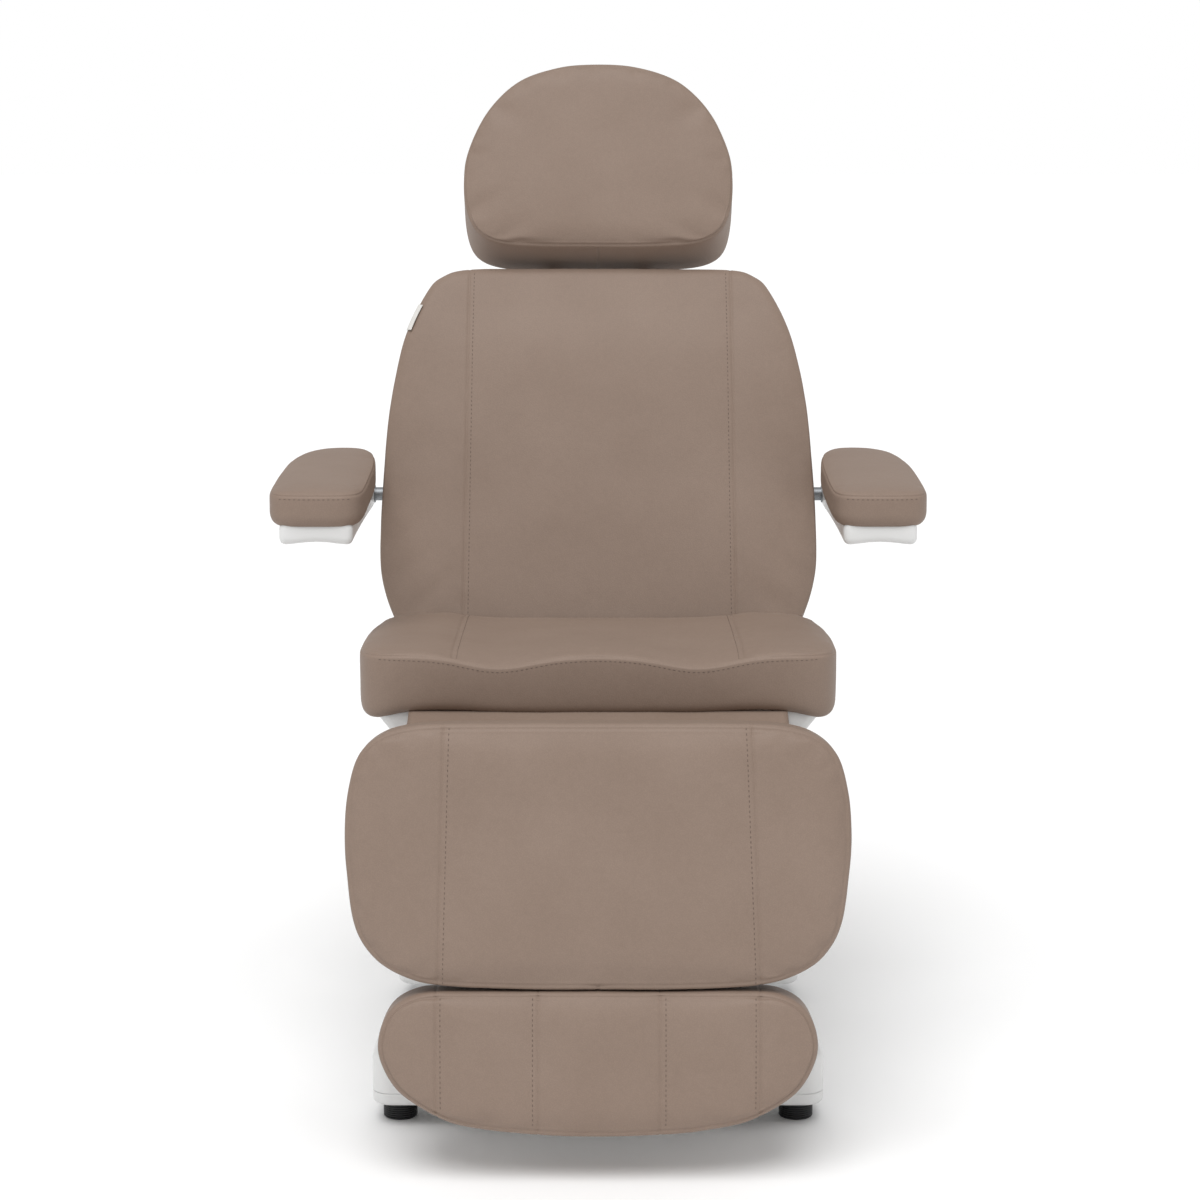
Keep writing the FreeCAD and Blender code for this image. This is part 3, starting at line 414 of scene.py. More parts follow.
def foamBlank(pad, edge):
    nx, ny = pad["cells"]
    letGo()
    bpy.ops.mesh.primitive_grid_add(x_subdivisions=nx, y_subdivisions=ny, size=2)
    blank = started(pad["name"])
    along = blank.data.attributes.new("along", "FLOAT", "POINT")
    for index, vertex in enumerate(blank.data.vertices):
        u, v = (vertex.co.x + 1) / 2, (vertex.co.y + 1) / 2
        spot = panelSpot(edge, pad["roll"], u, v)
        vertex.co = (spot.x, spot.y, pad["face"])
        near = min((v, 0, u), (1 - u, 1, v), (1 - v, 2, 1 - u), (u, 3, 1 - v))
        along.data[index].value = edge.side(near[1], near[2])
    openMesh(blank)
    bpy.ops.mesh.select_mode(type="EDGE")
    bpy.ops.mesh.select_all(action="DESELECT")
    bpy.ops.mesh.select_non_manifold()
    for inset, depth in rollRings(pad):
        bpy.ops.mesh.extrude_edges_indiv()
        closeMesh()
        rail = blank.data.attributes["along"].data
        for index, vertex in enumerate(blank.data.vertices):
            if vertex.select:
                spot = edge.spot(rail[index].value, inset)
                vertex.co = (spot.x, spot.y, pad["face"] - depth)
        bpy.ops.object.mode_set(mode="EDIT")
    bpy.ops.mesh.fill_grid(span=nx)
    facesOut(blank)
    inOrder(blank)
    for vertex in blank.data.vertices:
        vertex.co = pad["form"](vertex.co, pad) if "form" in pad else vertex.co
        vertex.co *= mm
    return blank


def sewnLevel(pad):
    # the cover is held from here down, at the seam or a little above it
    seamDepth = pad["roll"] * (1 - math.cos(math.radians(pad["seamAt"])))
    return pad["face"] - min(0.3 * pad["roll"], 0.9 * seamDepth)


air = {"frames": 20, "quality": 6, "mass": 0.4, "stretch": 25, "shear": 8, "bend": 2, "pressure": 4}


def swell(pad, blank):
    # air pressure in the cover, with the sewn edge and the underside held
    start = [vertex.co.copy() for vertex in blank.data.vertices]
    held = blank.vertex_groups.new(name="held")
    level = sewnLevel(pad)
    for vertex in blank.data.vertices:
        rise = pad["rise"](vertex.co.x / mm, vertex.co.y / mm) if "rise" in pad else 0
        if vertex.co.z / mm - rise < level:
            held.add([vertex.index], 1, "REPLACE")
    cover = blank.modifiers.new("cover", "CLOTH")
    cloth = cover.settings
    cloth.quality = air["quality"]
    cloth.mass = air["mass"]
    cloth.tension_stiffness = air["stretch"]
    cloth.compression_stiffness = air["stretch"]
    cloth.shear_stiffness = air["shear"]
    cloth.bending_stiffness = air["bend"]
    cloth.use_pressure = True
    cloth.uniform_pressure_force = air["pressure"]
    cloth.vertex_group_mass = "held"
    cloth.effector_weights.gravity = 0
    cover.point_cache.frame_start = 1
    cover.point_cache.frame_end = air["frames"]
    for step in range(1, air["frames"] + 1):
        bpy.context.scene.frame_set(step)
    seen = blank.evaluated_get(bpy.context.evaluated_depsgraph_get())
    ends = [vertex.co.copy() for vertex in seen.data.vertices]
    blank.modifiers.remove(cover)
    bpy.context.scene.frame_set(1)
    cap = pad["puff"] * mm
    for vertex, a, b in zip(blank.data.vertices, start, ends):
        way = b - a
        if way.length > 1e-7:
            vertex.co = a + way * (cap * math.tanh(way.length / cap) / way.length)
    blank.vertex_groups.clear()


# a sewn line: loops cut beside it, the broad pull of the thread and the narrow groove
sewing = {"loops": (-4, -1.3, 0, 1.3, 4), "pull": 1.3, "pullWide": 14, "deep": 1.3, "deepWide": 2.6,
          "ripple": 0.35, "rippleLong": 21, "rippleWide": 30, "facing": (0.45, 0.95), "past": 1}


def seamLine(seam):
    a, b = Vector(seam["from"]), Vector(seam["to"])
    way = (b - a).normalized()
    return a, (b - a).length, way, Vector((-way.y, way.x))


def seamSink(seam, spot, height, normal, floor):
    # how deep the cover is drawn in here by this seam
    a, length, way, across = seamLine(seam)
    run = (spot - a).dot(way)
    if not -sewing["past"] <= run <= length + sewing["past"]:
        return 0
    if height < seam.get("above", floor) or height > seam.get("below", math.inf):
        return 0
    off = abs((spot - a).dot(across))
    place = Vector((run / sewing["rippleLong"], off / sewing["rippleWide"], seam["from"][0]))
    ripple = 1 + sewing["ripple"] * noise.noise(place)
    facing = portion(normal.z, *sewing["facing"])
    broad = seam.get("pull", sewing["pull"]) * hump(off, 0, sewing["pullWide"]) * ripple * facing
    narrow = seam.get("deep", sewing["deep"]) * max(0, 1 - off / sewing["deepWide"])
    return broad + narrow * (0.5 + 0.5 * facing)


def sewSeams(pad, cover):
    # cuts edge loops along each sewn line, then draws the cover in along it
    openMesh(cover)
    for seam in pad["seams"]:
        a, _, _, across = seamLine(seam)
        for off in sewing["loops"]:
            bpy.ops.mesh.select_all(action="SELECT")
            spot = (a + across * off) * mm
            bpy.ops.mesh.bisect(plane_co=(spot.x, spot.y, 0), plane_no=(across.x, across.y, 0))
    closeMesh()
    normals = [vertex.normal.copy() for vertex in cover.data.vertices]
    floor = pad["face"] - pad["thick"] + pad["footRoll"]
    for vertex, normal in zip(cover.data.vertices, normals):
        spot, height = Vector((vertex.co.x, vertex.co.y)) / mm, vertex.co.z / mm
        sink = sum(seamSink(seam, spot, height, normal, floor) for seam in pad["seams"])
        vertex.co -= normal * sink * mm


waver = {"broad": 85, "broadHigh": 0.7, "fine": 30, "fineHigh": 0.22}


def softCreases(pad, cover):
    # the slight waver of a hand-sewn cover
    normals = [vertex.normal.copy() for vertex in cover.data.vertices]
    seed = Vector((pad["cells"][0], pad["cells"][1], pad["thick"]))
    for vertex, normal in zip(cover.data.vertices, normals):
        spot = vertex.co / mm
        wave = noise.noise(spot / waver["broad"] + seed) * waver["broadHigh"]
        wave += noise.noise(spot / waver["fine"] - seed) * waver["fineHigh"]
        vertex.co += normal * wave * pad.get("waver", 1.0) * mm


def intoPlace(pad, piece):
    # from the pad's own flat frame to its slope on the chair
    turn = Matrix.Rotation(math.radians(pad.get("tilt", 0)), 4, "X")
    piece.data.transform(Matrix.Translation(Vector(pad.get("origin", (0, 0, 0))) * mm) @ turn)
    piece.data.update()


def sewPad(pad):
    edge = SewnEdge(pad["outline"] if pad.get("whole") else bothHalves(pad["outline"]))
    cover = foamBlank(pad, edge)
    swell(pad, cover)
    useModifier(cover, "SUBSURF", levels=1, render_levels=1)
    sewSeams(pad, cover)
    softCreases(pad, cover)
    intoPlace(pad, cover)
    smoothed(cover)
    dressed(cover, pad["body"], taupeLeatherette, [pad["node"]])
    print("padded", pad["name"], len(cover.data.polygons))
    return cover


thread = {"long": 3.6, "thick": 0.5, "pitch": 6.4, "belly": 1.15, "fromAbove": 80, "fromFront": 200}


def stitchUp(pad, cover):
    # one thread stitch, modelled once, then laid along every sewn row
    letGo()
    bpy.ops.mesh.primitive_uv_sphere_add(segments=6, ring_count=5, radius=1)
    one = started(pad["name"] + "_stitch")
    chosen(one, lambda vertex: abs(vertex.co.z) < 0.9, "VERT")
    bpy.ops.transform.resize(value=(thread["belly"], thread["belly"], 1))
    closeMesh()
    shape = [vertex.co.copy() for vertex in one.data.vertices]
    faces = [list(face.vertices) for face in one.data.polygons]
    tree = BVHTree.FromObject(cover, bpy.context.evaluated_depsgraph_get())
    turn = Matrix.Rotation(math.radians(pad.get("tilt", 0)), 3, "X")
    origin = Vector(pad.get("origin", (0, 0, 0))) * mm
    points, polygons = [], []
    for row in pad["rows"]:
        a, b = Vector(row["from"]), Vector(row["to"])
        count = int((b - a).length / thread["pitch"])
        look = turn @ Vector(row.get("look", (0, 0, -1)))
        for step in range(count + 1):
            spot = a.lerp(b, step / max(count, 1))
            if "height" in row:
                start = Vector((spot.x, spot.y - thread["fromFront"], row["height"](spot.x)))
            else:
                start = Vector((spot.x, spot.y, pad["face"] + thread["fromAbove"]))
            hit, normal, _, _ = tree.ray_cast(turn @ (start * mm) + origin, look)
            if hit is None:
                continue
            way = turn @ Vector(row["way"](spot.x) if "way" in row else (*(b - a).normalized(), 0))
            way = (way - normal * way.dot(normal)).normalized()
            side = normal.cross(way)
            base = len(points)
            for corner in shape:
                points.append(hit + way * corner.z * thread["long"] / 2 * mm
                              + (side * corner.x + normal * corner.y) * thread["thick"] * mm)
            polygons += [[base + number for number in face] for face in faces]
    one.data.clear_geometry()
    one.data.from_pydata(points, [], polygons)
    one.data.update()
    smoothed(one)
    one.name = pad["name"] + "_stitches"
    dressed(one, pad["body"], taupeThread)


# Each pad lies flat in its own frame: x across, y along, face on top.
# Seams and rows run from and to (x, y).

def backForm(spot, pad):
    # thinner towards the foot, where the pad tucks behind the seat, and falling back under the headrest
    tuck, fall = pad["tuck"], pad["fall"]
    limit = tuck["thick"] + (pad["thick"] - tuck["thick"]) * portion(spot.y, *tuck["along"])
    depth = (pad["face"] - spot.z) * limit / pad["thick"]
    drop = fall["back"] * portion(spot.y, *fall["along"]) ** 2
    return Vector((spot.x, spot.y, pad["face"] - depth - drop * (1 - depth / pad["thick"])))


backPad = {
    "name": "back_pad", "node": "back_cushion", "body": "backrest", "tilt": 69, "origin": (0, 186.5, 555),
    "outline": [(0, -30), (140, -30), (225, -22), (275, 5), (301, 45), (318, 105), (320, 170), (316, 255),
                (308, 355), (287, 462), (254, 536), (234, 557), (200, 569), (100, 571), (0, 571)],
    "face": 57, "thick": 77, "roll": 16, "footRoll": 7, "seamAt": 60, "groove": 1.8, "puff": 8,
    "cells": (62, 58), "form": backForm,
    "tuck": {"thick": 20, "along": (-30, 60)}, "fall": {"back": 18, "along": (430, 571)},
    "seams": [{"from": (-197, -40), "to": (-192, 580)}, {"from": (201, -40), "to": (197, 580)}],
    "rows": [{"from": (-190, -10), "to": (-185, 559)}, {"from": (194, -10), "to": (190, 559)}],
}


def headForm(spot, pad):
    # the side band runs outwards and down towards the rear, so that it shows below the face
    band = pad["band"]
    depth = (pad["face"] - spot.z) / pad["thick"]
    corner = hump(spot.y, *band["corner"]) * min(1, abs(spot.x) / band["cornerOut"]) ** 2
    flare = band["flare"] * portion(spot.y, *band["flareAlong"]) + band["cornerFlare"] * corner
    drop = band["drop"] * portion(spot.y, *band["dropAlong"])
    return Vector((spot.x * (1 + flare * depth), spot.y - drop * depth, spot.z))


headPad = {
    "name": "headrest_pad", "node": "headrest_cushion", "body": "headrest",
    "tilt": 69, "origin": (0, 186.5, 555),
    "outline": [(0, 596), (90, 597), (148, 602), (180, 619), (196, 651), (201, 695), (195, 744), (167, 806),
                (121, 853), (61, 876), (0, 882)],
    "face": 68, "thick": 88, "roll": 11, "footRoll": 3, "seamAt": 50, "groove": 2.2, "puff": 9,
    "cells": (42, 32), "form": headForm,
    "band": {"flare": 0.015, "flareAlong": (760, 630), "cornerFlare": 0.02, "corner": (600, 45),
             "cornerOut": 150, "drop": 15, "dropAlong": (690, 620)},
    "seams": [{"from": (0, 575), "to": (0, 640), "below": 58, "pull": 1.0, "deep": 3.0}],
    "rows": [],
}

legPad = {
    "name": "leg_pad", "node": "leg_cushion", "body": "legrest", "tilt": 82, "origin": (0, -354.5, 532),
    "outline": [(0, -299), (100, -299), (200, -294), (250, -281), (286, -257), (309, -216), (319, -146),
                (321, -95), (317, -47), (303, 0), (275, 25), (237, 36), (195, 39), (100, 40), (0, 40)],
    "face": 101, "thick": 72, "roll": 11, "footRoll": 8, "seamAt": 28, "groove": 2.4, "puff": 8,
    "cells": (64, 34),
    "seams": [{"from": (-204, -310), "to": (-195, 50)}, {"from": (207, -310), "to": (194, 50)},
              {"from": (0, -310), "to": (0, -284), "below": 98, "pull": 1.4}],
    "rows": [{"from": (-197, -290), "to": (-188, 33)}, {"from": (200, -290), "to": (187, 33)}],
}

footPad = {
    "name": "footrest_pad", "node": "footrest_cushion", "body": "footrest",
    "tilt": 82, "origin": (0, -354.5, 532),
    "outline": [(0, -488), (80, -485), (140, -479), (197, -466), (252, -432), (277, -390), (279, -358),
                (265, -325), (238, -307), (200, -301), (100, -300.5), (0, -300.5)],
    "face": 101, "thick": 72, "roll": 12, "footRoll": 8, "seamAt": 26, "groove": 2.2, "puff": 7,
    "cells": (56, 20),
    "seams": [{"from": (x, -495), "to": (x, -295)} for x in (-206, -76, 79, 206)],
    "rows": [{"from": (-200, -448), "to": (-200, -310)}, {"from": (-83, -470), "to": (-83, -310)},
             {"from": (86, -470), "to": (86, -310)}, {"from": (200, -448), "to": (200, -310)}],
}

seatWave = {"rear": 112.5, "front": -312.5, "slope": 26, "lift": 6, "hollow": 15, "hollowFade": 1.6,
            "hollowAt": (130, 62), "bolsterAt": (185, 14), "bolsterRear": 8, "bolsterFront": 1}
seatHem = {"low": 6, "lift": 6, "arch": 5, "archAt": (210, 60), "drop": 12, "dropAt": (275, 10), "fade": 4}


def seatRise(x, y):
    # front edge waves over the thighs, side bolsters stand a little proud at the rear
    front = portion(y, seatWave["rear"], seatWave["front"])
    hollow = seatWave["hollow"] * hump(abs(x), *seatWave["hollowAt"]) * front ** seatWave["hollowFade"]
    proud = seatWave["bolsterRear"] * (1 - front) + seatWave["bolsterFront"] * front
    bolster = proud * softStep(abs(x), *seatWave["bolsterAt"])
    return bolster - hollow + seatWave["lift"] * front - seatWave["slope"] * (1 - front)


def seatForm(spot, pad):
    # the wave fades out towards the hem, which is arched at the front and drops at its corners
    share = portion(spot.z, pad["face"] - pad["thick"] + seatHem["low"], pad["face"])
    front = portion(spot.y, seatWave["rear"], seatWave["front"]) ** seatHem["fade"]
    hem = seatHem["lift"] + seatHem["arch"] * hump(abs(spot.x), *seatHem["archAt"])
    hem -= seatHem["drop"] * softStep(abs(spot.x), *seatHem["dropAt"])
    return Vector((spot.x, spot.y, spot.z + seatRise(spot.x, spot.y) * share + hem * front * (1 - share)))


def seatFrontRow(x):
    return 632 + seatRise(x, -312)


def seatFrontWay(x):
    return 1, 0, (seatRise(x + 2, -312) - seatRise(x - 2, -312)) / 4


seatPad = {
    "name": "seat_pad", "node": "seat_cushion", "body": "seat", "form": seatForm, "rise": seatRise,
    "outline": [(0, -312), (140, -312), (240, -312), (281, -307), (305, -289), (315, -252), (317, -195),
                (317, -110), (312, -20), (301, 50), (281, 92), (245, 109), (190, 112), (95, 112), (0, 112)],
    "face": 641, "thick": 81, "roll": 9, "footRoll": 13, "seamAt": 48, "groove": 1.5, "puff": 6,
    "cells": (62, 42),
    "seams": [{"from": (-191, -303), "to": (-191, 120), "above": 590},
              {"from": (190, -303), "to": (190, 120), "above": 590}],
    "rows": [{"from": (-185, -300), "to": (-185, 104)}, {"from": (184, -300), "to": (184, 104)},
             {"from": (-285, -312), "to": (285, -312), "look": (0, 1, 0),
              "height": seatFrontRow, "way": seatFrontWay}],
}

armSlope = {"climb": 9, "from": -155, "long": 400}
armOutline = [(350, -156), (382, -157), (412, -156), (434, -148), (445, -124), (447, -60), (447, 40),
              (443, 130), (431, 200), (405, 238), (375, 247), (348, 240), (329, 208), (320, 130),
              (317, 20), (317, -100), (322, -138), (333, -151)]


def armRise(x, y):
    # the pad climbs a little towards its hinge
    return armSlope["climb"] * (y - armSlope["from"]) / armSlope["long"]


def armForm(spot, pad):
    return Vector((spot.x, spot.y, spot.z + armRise(spot.x, spot.y)))


def armPad(name, side):
    loop = [(side * x, y) for x, y in armOutline]
    return {
        "name": "arm_pad_" + name, "node": "armrest_pad_" + name, "body": "armrest_" + name,
        "outline": loop if side > 0 else loop[::-1], "whole": True,
        "face": 837, "thick": 50, "roll": 12, "footRoll": 15, "seamAt": 55, "groove": 1.2, "puff": 5,
        "cells": (16, 40), "seams": [], "waver": 0.6, "form": armForm, "rise": armRise,
        "rows": [{"from": (side * 336, -150), "to": (side * 428, -150), "look": (0, 1, 0),
                  "height": lambda x: 827, "way": lambda x: (1, 0, 0)}],
    }


for pad in [headPad, backPad, seatPad, legPad, footPad, armPad("left", -1), armPad("right", 1)]:
    cover = sewPad(pad)
    if pad["rows"]:
        stitchUp(pad, cover)
print("pads sewn")


# Boards behind the foam, wrapped in the same cover

def drawnIn(outline, inset, steps=24):
    # the same cut line, this much smaller
    edge = SewnEdge(bothHalves(outline))
    spots = [edge.spot(edge.length * step / (2 * steps), inset) for step in range(steps + 1)]
    return [(max(spot.x, 0), spot.y) for spot in spots]


def wrapBoard(board):
    piece = foamBlank(board, SewnEdge(bothHalves(board["outline"])))
    useModifier(piece, "SUBSURF", levels=1, render_levels=1)
    intoPlace(board, piece)
    smoothed(piece)
    dressed(piece, board["body"], taupeLeatherette, [board["node"]])
    print("wrapped", board["name"])


boardCut = {"roll": 2.5, "footRoll": 4, "seamAt": 45, "groove": 0, "cells": (24, 20)}
boards = [
    {"name": "headrest_rear_board", "node": "headrest_panel", "behind": headPad,
     "inset": 11, "face": -19, "thick": 11},
    {"name": "back_rear_board", "node": "back_panel", "behind": backPad,
     "inset": 20, "face": -19, "thick": 13,
     "foot": [(0, 62), (150, 62), (230, 64), (281, 78)], "footTo": 110},
    {"name": "leg_under_board", "node": "leg_panel", "behind": legPad,
     "inset": 23, "face": 30, "thick": 13},
    {"name": "foot_under_board", "node": "footrest_panel", "behind": footPad,
     "inset": 23, "face": 30, "thick": 13},
    {"name": "seat_under_board", "node": "seat_panel", "behind": seatPad,
     "inset": 42, "face": 562, "thick": 16},
]
for board in boards:
    pad = board["behind"]
    board.update(boardCut, body=pad["body"], tilt=pad.get("tilt", 0), origin=pad.get("origin", (0, 0, 0)))
    board["outline"] = drawnIn(pad["outline"], board["inset"])
    if "foot" in board:  # cut straight across where the pad's foot runs on
        board["outline"] = board["foot"] + [p for p in board["outline"] if p[1] > board["footTo"]]
    wrapBoard(board)


# Moulded white covers

def bevelled(piece, width, segments=4, angle=40):
    useModifier(piece, "BEVEL", width=width * mm, segments=segments, limit_method="ANGLE",
                angle_limit=math.radians(angle))
    smoothedFlats(piece)


def block(name, low, high):
    letGo()
    middle = [(a + b) / 2 * mm for a, b in zip(low, high)]
    bpy.ops.mesh.primitive_cube_add(size=1, location=middle)
    piece = started(name)
    piece.scale = [(b - a) * mm for a, b in zip(low, high)]
    settle(piece)
    return piece


def cutAcross(piece, axis, places):
    # edge loops round the piece at these places along the axis
    openMesh(piece)
    for place in places:
        spot, way = [0, 0, 0], [0, 0, 0]
        spot["xyz".index(axis)] = place * mm
        way["xyz".index(axis)] = 1
        bpy.ops.mesh.select_all(action="SELECT")
        bpy.ops.mesh.bisect(plane_co=spot, plane_no=way)
    closeMesh()


def reshape(piece, change):
    for vertex in piece.data.vertices:
        vertex.co = Vector(change(vertex.co / mm)) * mm
    piece.data.update()


def sunkLine(piece, level, wide, sunk):
    # a moulded line round the piece, drawn in to these shares of its width and depth
    cutAcross(piece, "z", [level - wide, level, level + wide])
    reshape(piece, lambda v: (v.x * sunk[0], v.y * sunk[1], v.z) if abs(v.z - level) < 0.3 else v)


def mirrored(piece):
    reshape(piece, lambda v: (-v.x, v.y, v.z))
    facesOut(piece)


def drawUp(height):
    bpy.ops.mesh.extrude_region_move(TRANSFORM_OT_translate={"value": (0, 0, height * mm)})


def edgesWhere(piece, test):
    # selects the edges whose two ends pass the test together
    points = piece.data.vertices
    chosen(piece, lambda edge: test(*(points[i].co / mm for i in edge.vertices)), "EDGE")


def rimEdges(piece, level):
    edgesWhere(piece, lambda a, b: abs(a.z - level) < 0.2 and abs(b.z - level) < 0.2)


def uprightEdges(piece):
    edgesWhere(piece, lambda a, b: abs(a.z - b.z) > 10)


# an H seen from above: two feet across, joined by a web
baseCover = {"half": (303, 313), "end": 100, "web": 140, "under": 29, "top": 105, "wall": 3,
             "corner": 26, "crest": 15, "hem": 6, "groove": 46, "grooveWide": 1.2, "sunk": (0.996, 0.996),
             "inletAlong": (129.5, 178.5), "inletUp": (61.5, 88.5)}


def mouldBase(base):
    wide, deep = base["half"]
    web, waist = base["web"], deep - base["end"]
    letGo()
    bpy.ops.mesh.primitive_grid_add(x_subdivisions=3, y_subdivisions=3, size=2)
    piece = started("base_shell")
    places = ([-wide, -web, web, wide], [-deep, -waist, waist, deep])
    for vertex in piece.data.vertices:
        x, y = (places[axis][round((vertex.co[axis] + 1) * 1.5)] for axis in (0, 1))
        vertex.co = (x * mm, y * mm, base["top"] * mm)
    chosen(piece, lambda face: abs(face.center.x) > web * mm and abs(face.center.y) < waist * mm)
    bpy.ops.mesh.delete(type="FACE")
    bpy.ops.mesh.select_all(action="SELECT")
    drawUp(base["under"] - base["top"])
    bpy.ops.mesh.select_all(action="SELECT")
    bpy.ops.mesh.normals_make_consistent(inside=False)
    bpy.ops.mesh.dissolve_limited(angle_limit=math.radians(1))
    uprightEdges(piece)
    bpy.ops.mesh.bevel(offset=base["corner"] * mm, segments=6)
    rimEdges(piece, base["top"])
    bpy.ops.mesh.bevel(offset=base["crest"] * mm, segments=5)
    rimEdges(piece, base["under"])
    bpy.ops.mesh.bevel(offset=base["hem"] * mm, segments=3)
    chosen(piece, lambda face: face.normal.z < -0.99)  # open underneath
    bpy.ops.mesh.delete(type="FACE")
    sunkLine(piece, base["groove"], base["grooveWide"], base["sunk"])
    along, up = base["inletAlong"], base["inletUp"]
    cutAcross(piece, "y", along)
    cutAcross(piece, "z", up)
    chosen(piece, lambda face: face.center.x / mm > web - 10
           and along[0] < face.center.y / mm < along[1]
           and up[0] < face.center.z / mm < up[1])
    bpy.ops.mesh.delete(type="FACE")
    closeMesh()
    useModifier(piece, "SOLIDIFY", thickness=base["wall"] * mm, offset=-1)
    smoothedFlats(piece)
    dressed(piece, "base", whiteAbs, ["base_cover"])


mouldBase(baseCover)

columnCut = {"lineWide": 2, "sunk": (0.988, 0.986), "edge": 0.8}
columnCovers = [
    {"name": "lower_column_shell", "node": "column_lower_cover", "body": "base",
     "half": (95, 80), "low": 104, "high": 470, "corner": 16, "wall": 3, "line": 114},
    {"name": "upper_column_shell", "node": "column_upper_cover", "body": "seat",
     "half": (103, 88), "low": 190, "high": 496, "corner": 18, "wall": 4, "line": 200},
]
for cover in columnCovers:
    x, y = cover["half"]
    shell = block(cover["name"], (-x, -y, cover["low"]), (x, y, cover["high"]))
    chosen(shell, lambda face: abs(face.normal.z) > 0.9)
    bpy.ops.mesh.delete(type="FACE")
    uprightEdges(shell)
    bpy.ops.mesh.bevel(offset=cover["corner"] * mm, segments=6)
    closeMesh()
    sunkLine(shell, cover["line"], columnCut["lineWide"], columnCut["sunk"])
    useModifier(shell, "SOLIDIFY", thickness=cover["wall"] * mm, offset=-1)
    bevelled(shell, columnCut["edge"], 2, 60)
    dressed(shell, cover["body"], whiteAbs, [cover["node"]])

skirt = {"in": 191, "out": 297, "front": -300.5, "rear": 100.5, "low": 508, "high": 573, "rearTop": 561.5,
         "slope": 50, "edge": 8, "rearCorner": 60, "frontCorner": 12, "cuts": [-260, -220, -180, -130, -60]}


def panProfile(v, pan):
    # the outer wall slopes in towards the bottom
    outerFoot = v.x > (pan["in"] + pan["out"]) / 2 and v.z < (pan["low"] + pan["high"]) / 2
    return v.x - (pan["slope"] if outerFoot else 0), v.y, v.z


def panTop(v, pan):
    # follows the arched lower edge of the seat pad
    front = portion(v.y, seatWave["rear"], seatWave["front"]) ** seatHem["fade"]
    top = pan["rearTop"] + (pan["high"] - pan["rearTop"]) * front
    return v.x, v.y, top if v.z > (pan["low"] + pan["high"]) / 2 else v.z


def panCorner(pan, y, corner):
    # rounds the outer upright corner at this end
    outer = (skirt["in"] + skirt["out"] - skirt["slope"]) / 2
    edgesWhere(pan, lambda a, b: all(p.x > outer and abs(p.y - y) < 1 for p in (a, b)))
    bpy.ops.mesh.bevel(offset=corner * mm, segments=7)
    closeMesh()


for side, name in ((-1, "left"), (1, "right")):
    pan = block("seat_pan_" + name, (skirt["in"], skirt["front"], skirt["low"]),
                (skirt["out"], skirt["rear"], skirt["high"]))
    reshape(pan, lambda v: panProfile(v, skirt))
    cutAcross(pan, "y", skirt["cuts"])
    reshape(pan, lambda v: panTop(v, skirt))
    panCorner(pan, skirt["rear"], skirt["rearCorner"])
    panCorner(pan, skirt["front"], skirt["frontCorner"])
    bevelled(pan, skirt["edge"])
    if side < 0:
        mirrored(pan)
    dressed(pan, "seat", whiteAbs, ["seat_skirt_" + name])

armShell = {"in": 331, "out": 431, "front": -149, "rear": 358.6, "bottom": 763.5, "top": 794,
            "hubY": 336.6, "hubZ": 761.9, "hub": 22, "fallFrom": 205, "narrow": 7, "edge": 9,
            "arch": 4, "archBelow": 12,
            "cuts": [-100, -20, 60, 140, 205, 260, 300], "archCuts": [350, 366, 381, 396, 412]}


def beamProfile(v, shell):
    # a straight tray under the pad that narrows and falls to the hinge
    share = portion(v.y, shell["front"], shell["hubY"])
    fall = portion(v.y, shell["fallFrom"], shell["hubY"])
    low = shell["bottom"] + (shell["hubZ"] - shell["hub"] - shell["bottom"]) * share ** 1.4
    high = shell["top"] + (shell["hubZ"] + shell["hub"] - shell["top"]) * fall
    inner = v.x < (shell["in"] + shell["out"]) / 2
    x = v.x + (shell["narrow"] if inner else -shell["narrow"]) * share
    return x, v.y, low if v.z < (shell["bottom"] + shell["top"]) / 2 else high


def beamArch(v, shell):
    # the lower edge is slightly hollow across
    if v.z >= shell["bottom"] + shell["archBelow"]:
        return v
    across = portion(v.x, shell["in"], shell["out"])
    share = portion(v.y, shell["front"], shell["hubY"])
    return v.x, v.y, v.z + shell["arch"] * math.sin(math.pi * across) ** 2 * (1 - share)


for side, name in ((-1, "left"), (1, "right")):
    beam = block("arm_beam_" + name, (armShell["in"], armShell["front"], armShell["bottom"]),
                 (armShell["out"], armShell["rear"], armShell["top"]))
    cutAcross(beam, "y", armShell["cuts"])
    reshape(beam, lambda v: beamProfile(v, armShell))
    rear = armShell["rear"] - 1
    edgesWhere(beam, lambda a, b: a.y > rear and b.y > rear and abs(a.x - b.x) > 50)
    bpy.ops.mesh.bevel(offset=(armShell["hub"] - 1) * mm, segments=6)  # round about the hinge
    closeMesh()
    bevelled(beam, armShell["edge"], 4, 50)
    cutAcross(beam, "x", armShell["archCuts"])
    reshape(beam, lambda v: beamArch(v, armShell))
    if side < 0:
        mirrored(beam)
    dressed(beam, "armrest_" + name, whiteAbs, ["armrest_shell_" + name])
print("white covers moulded")


# Ribbed rubber feet, one modelled and copied

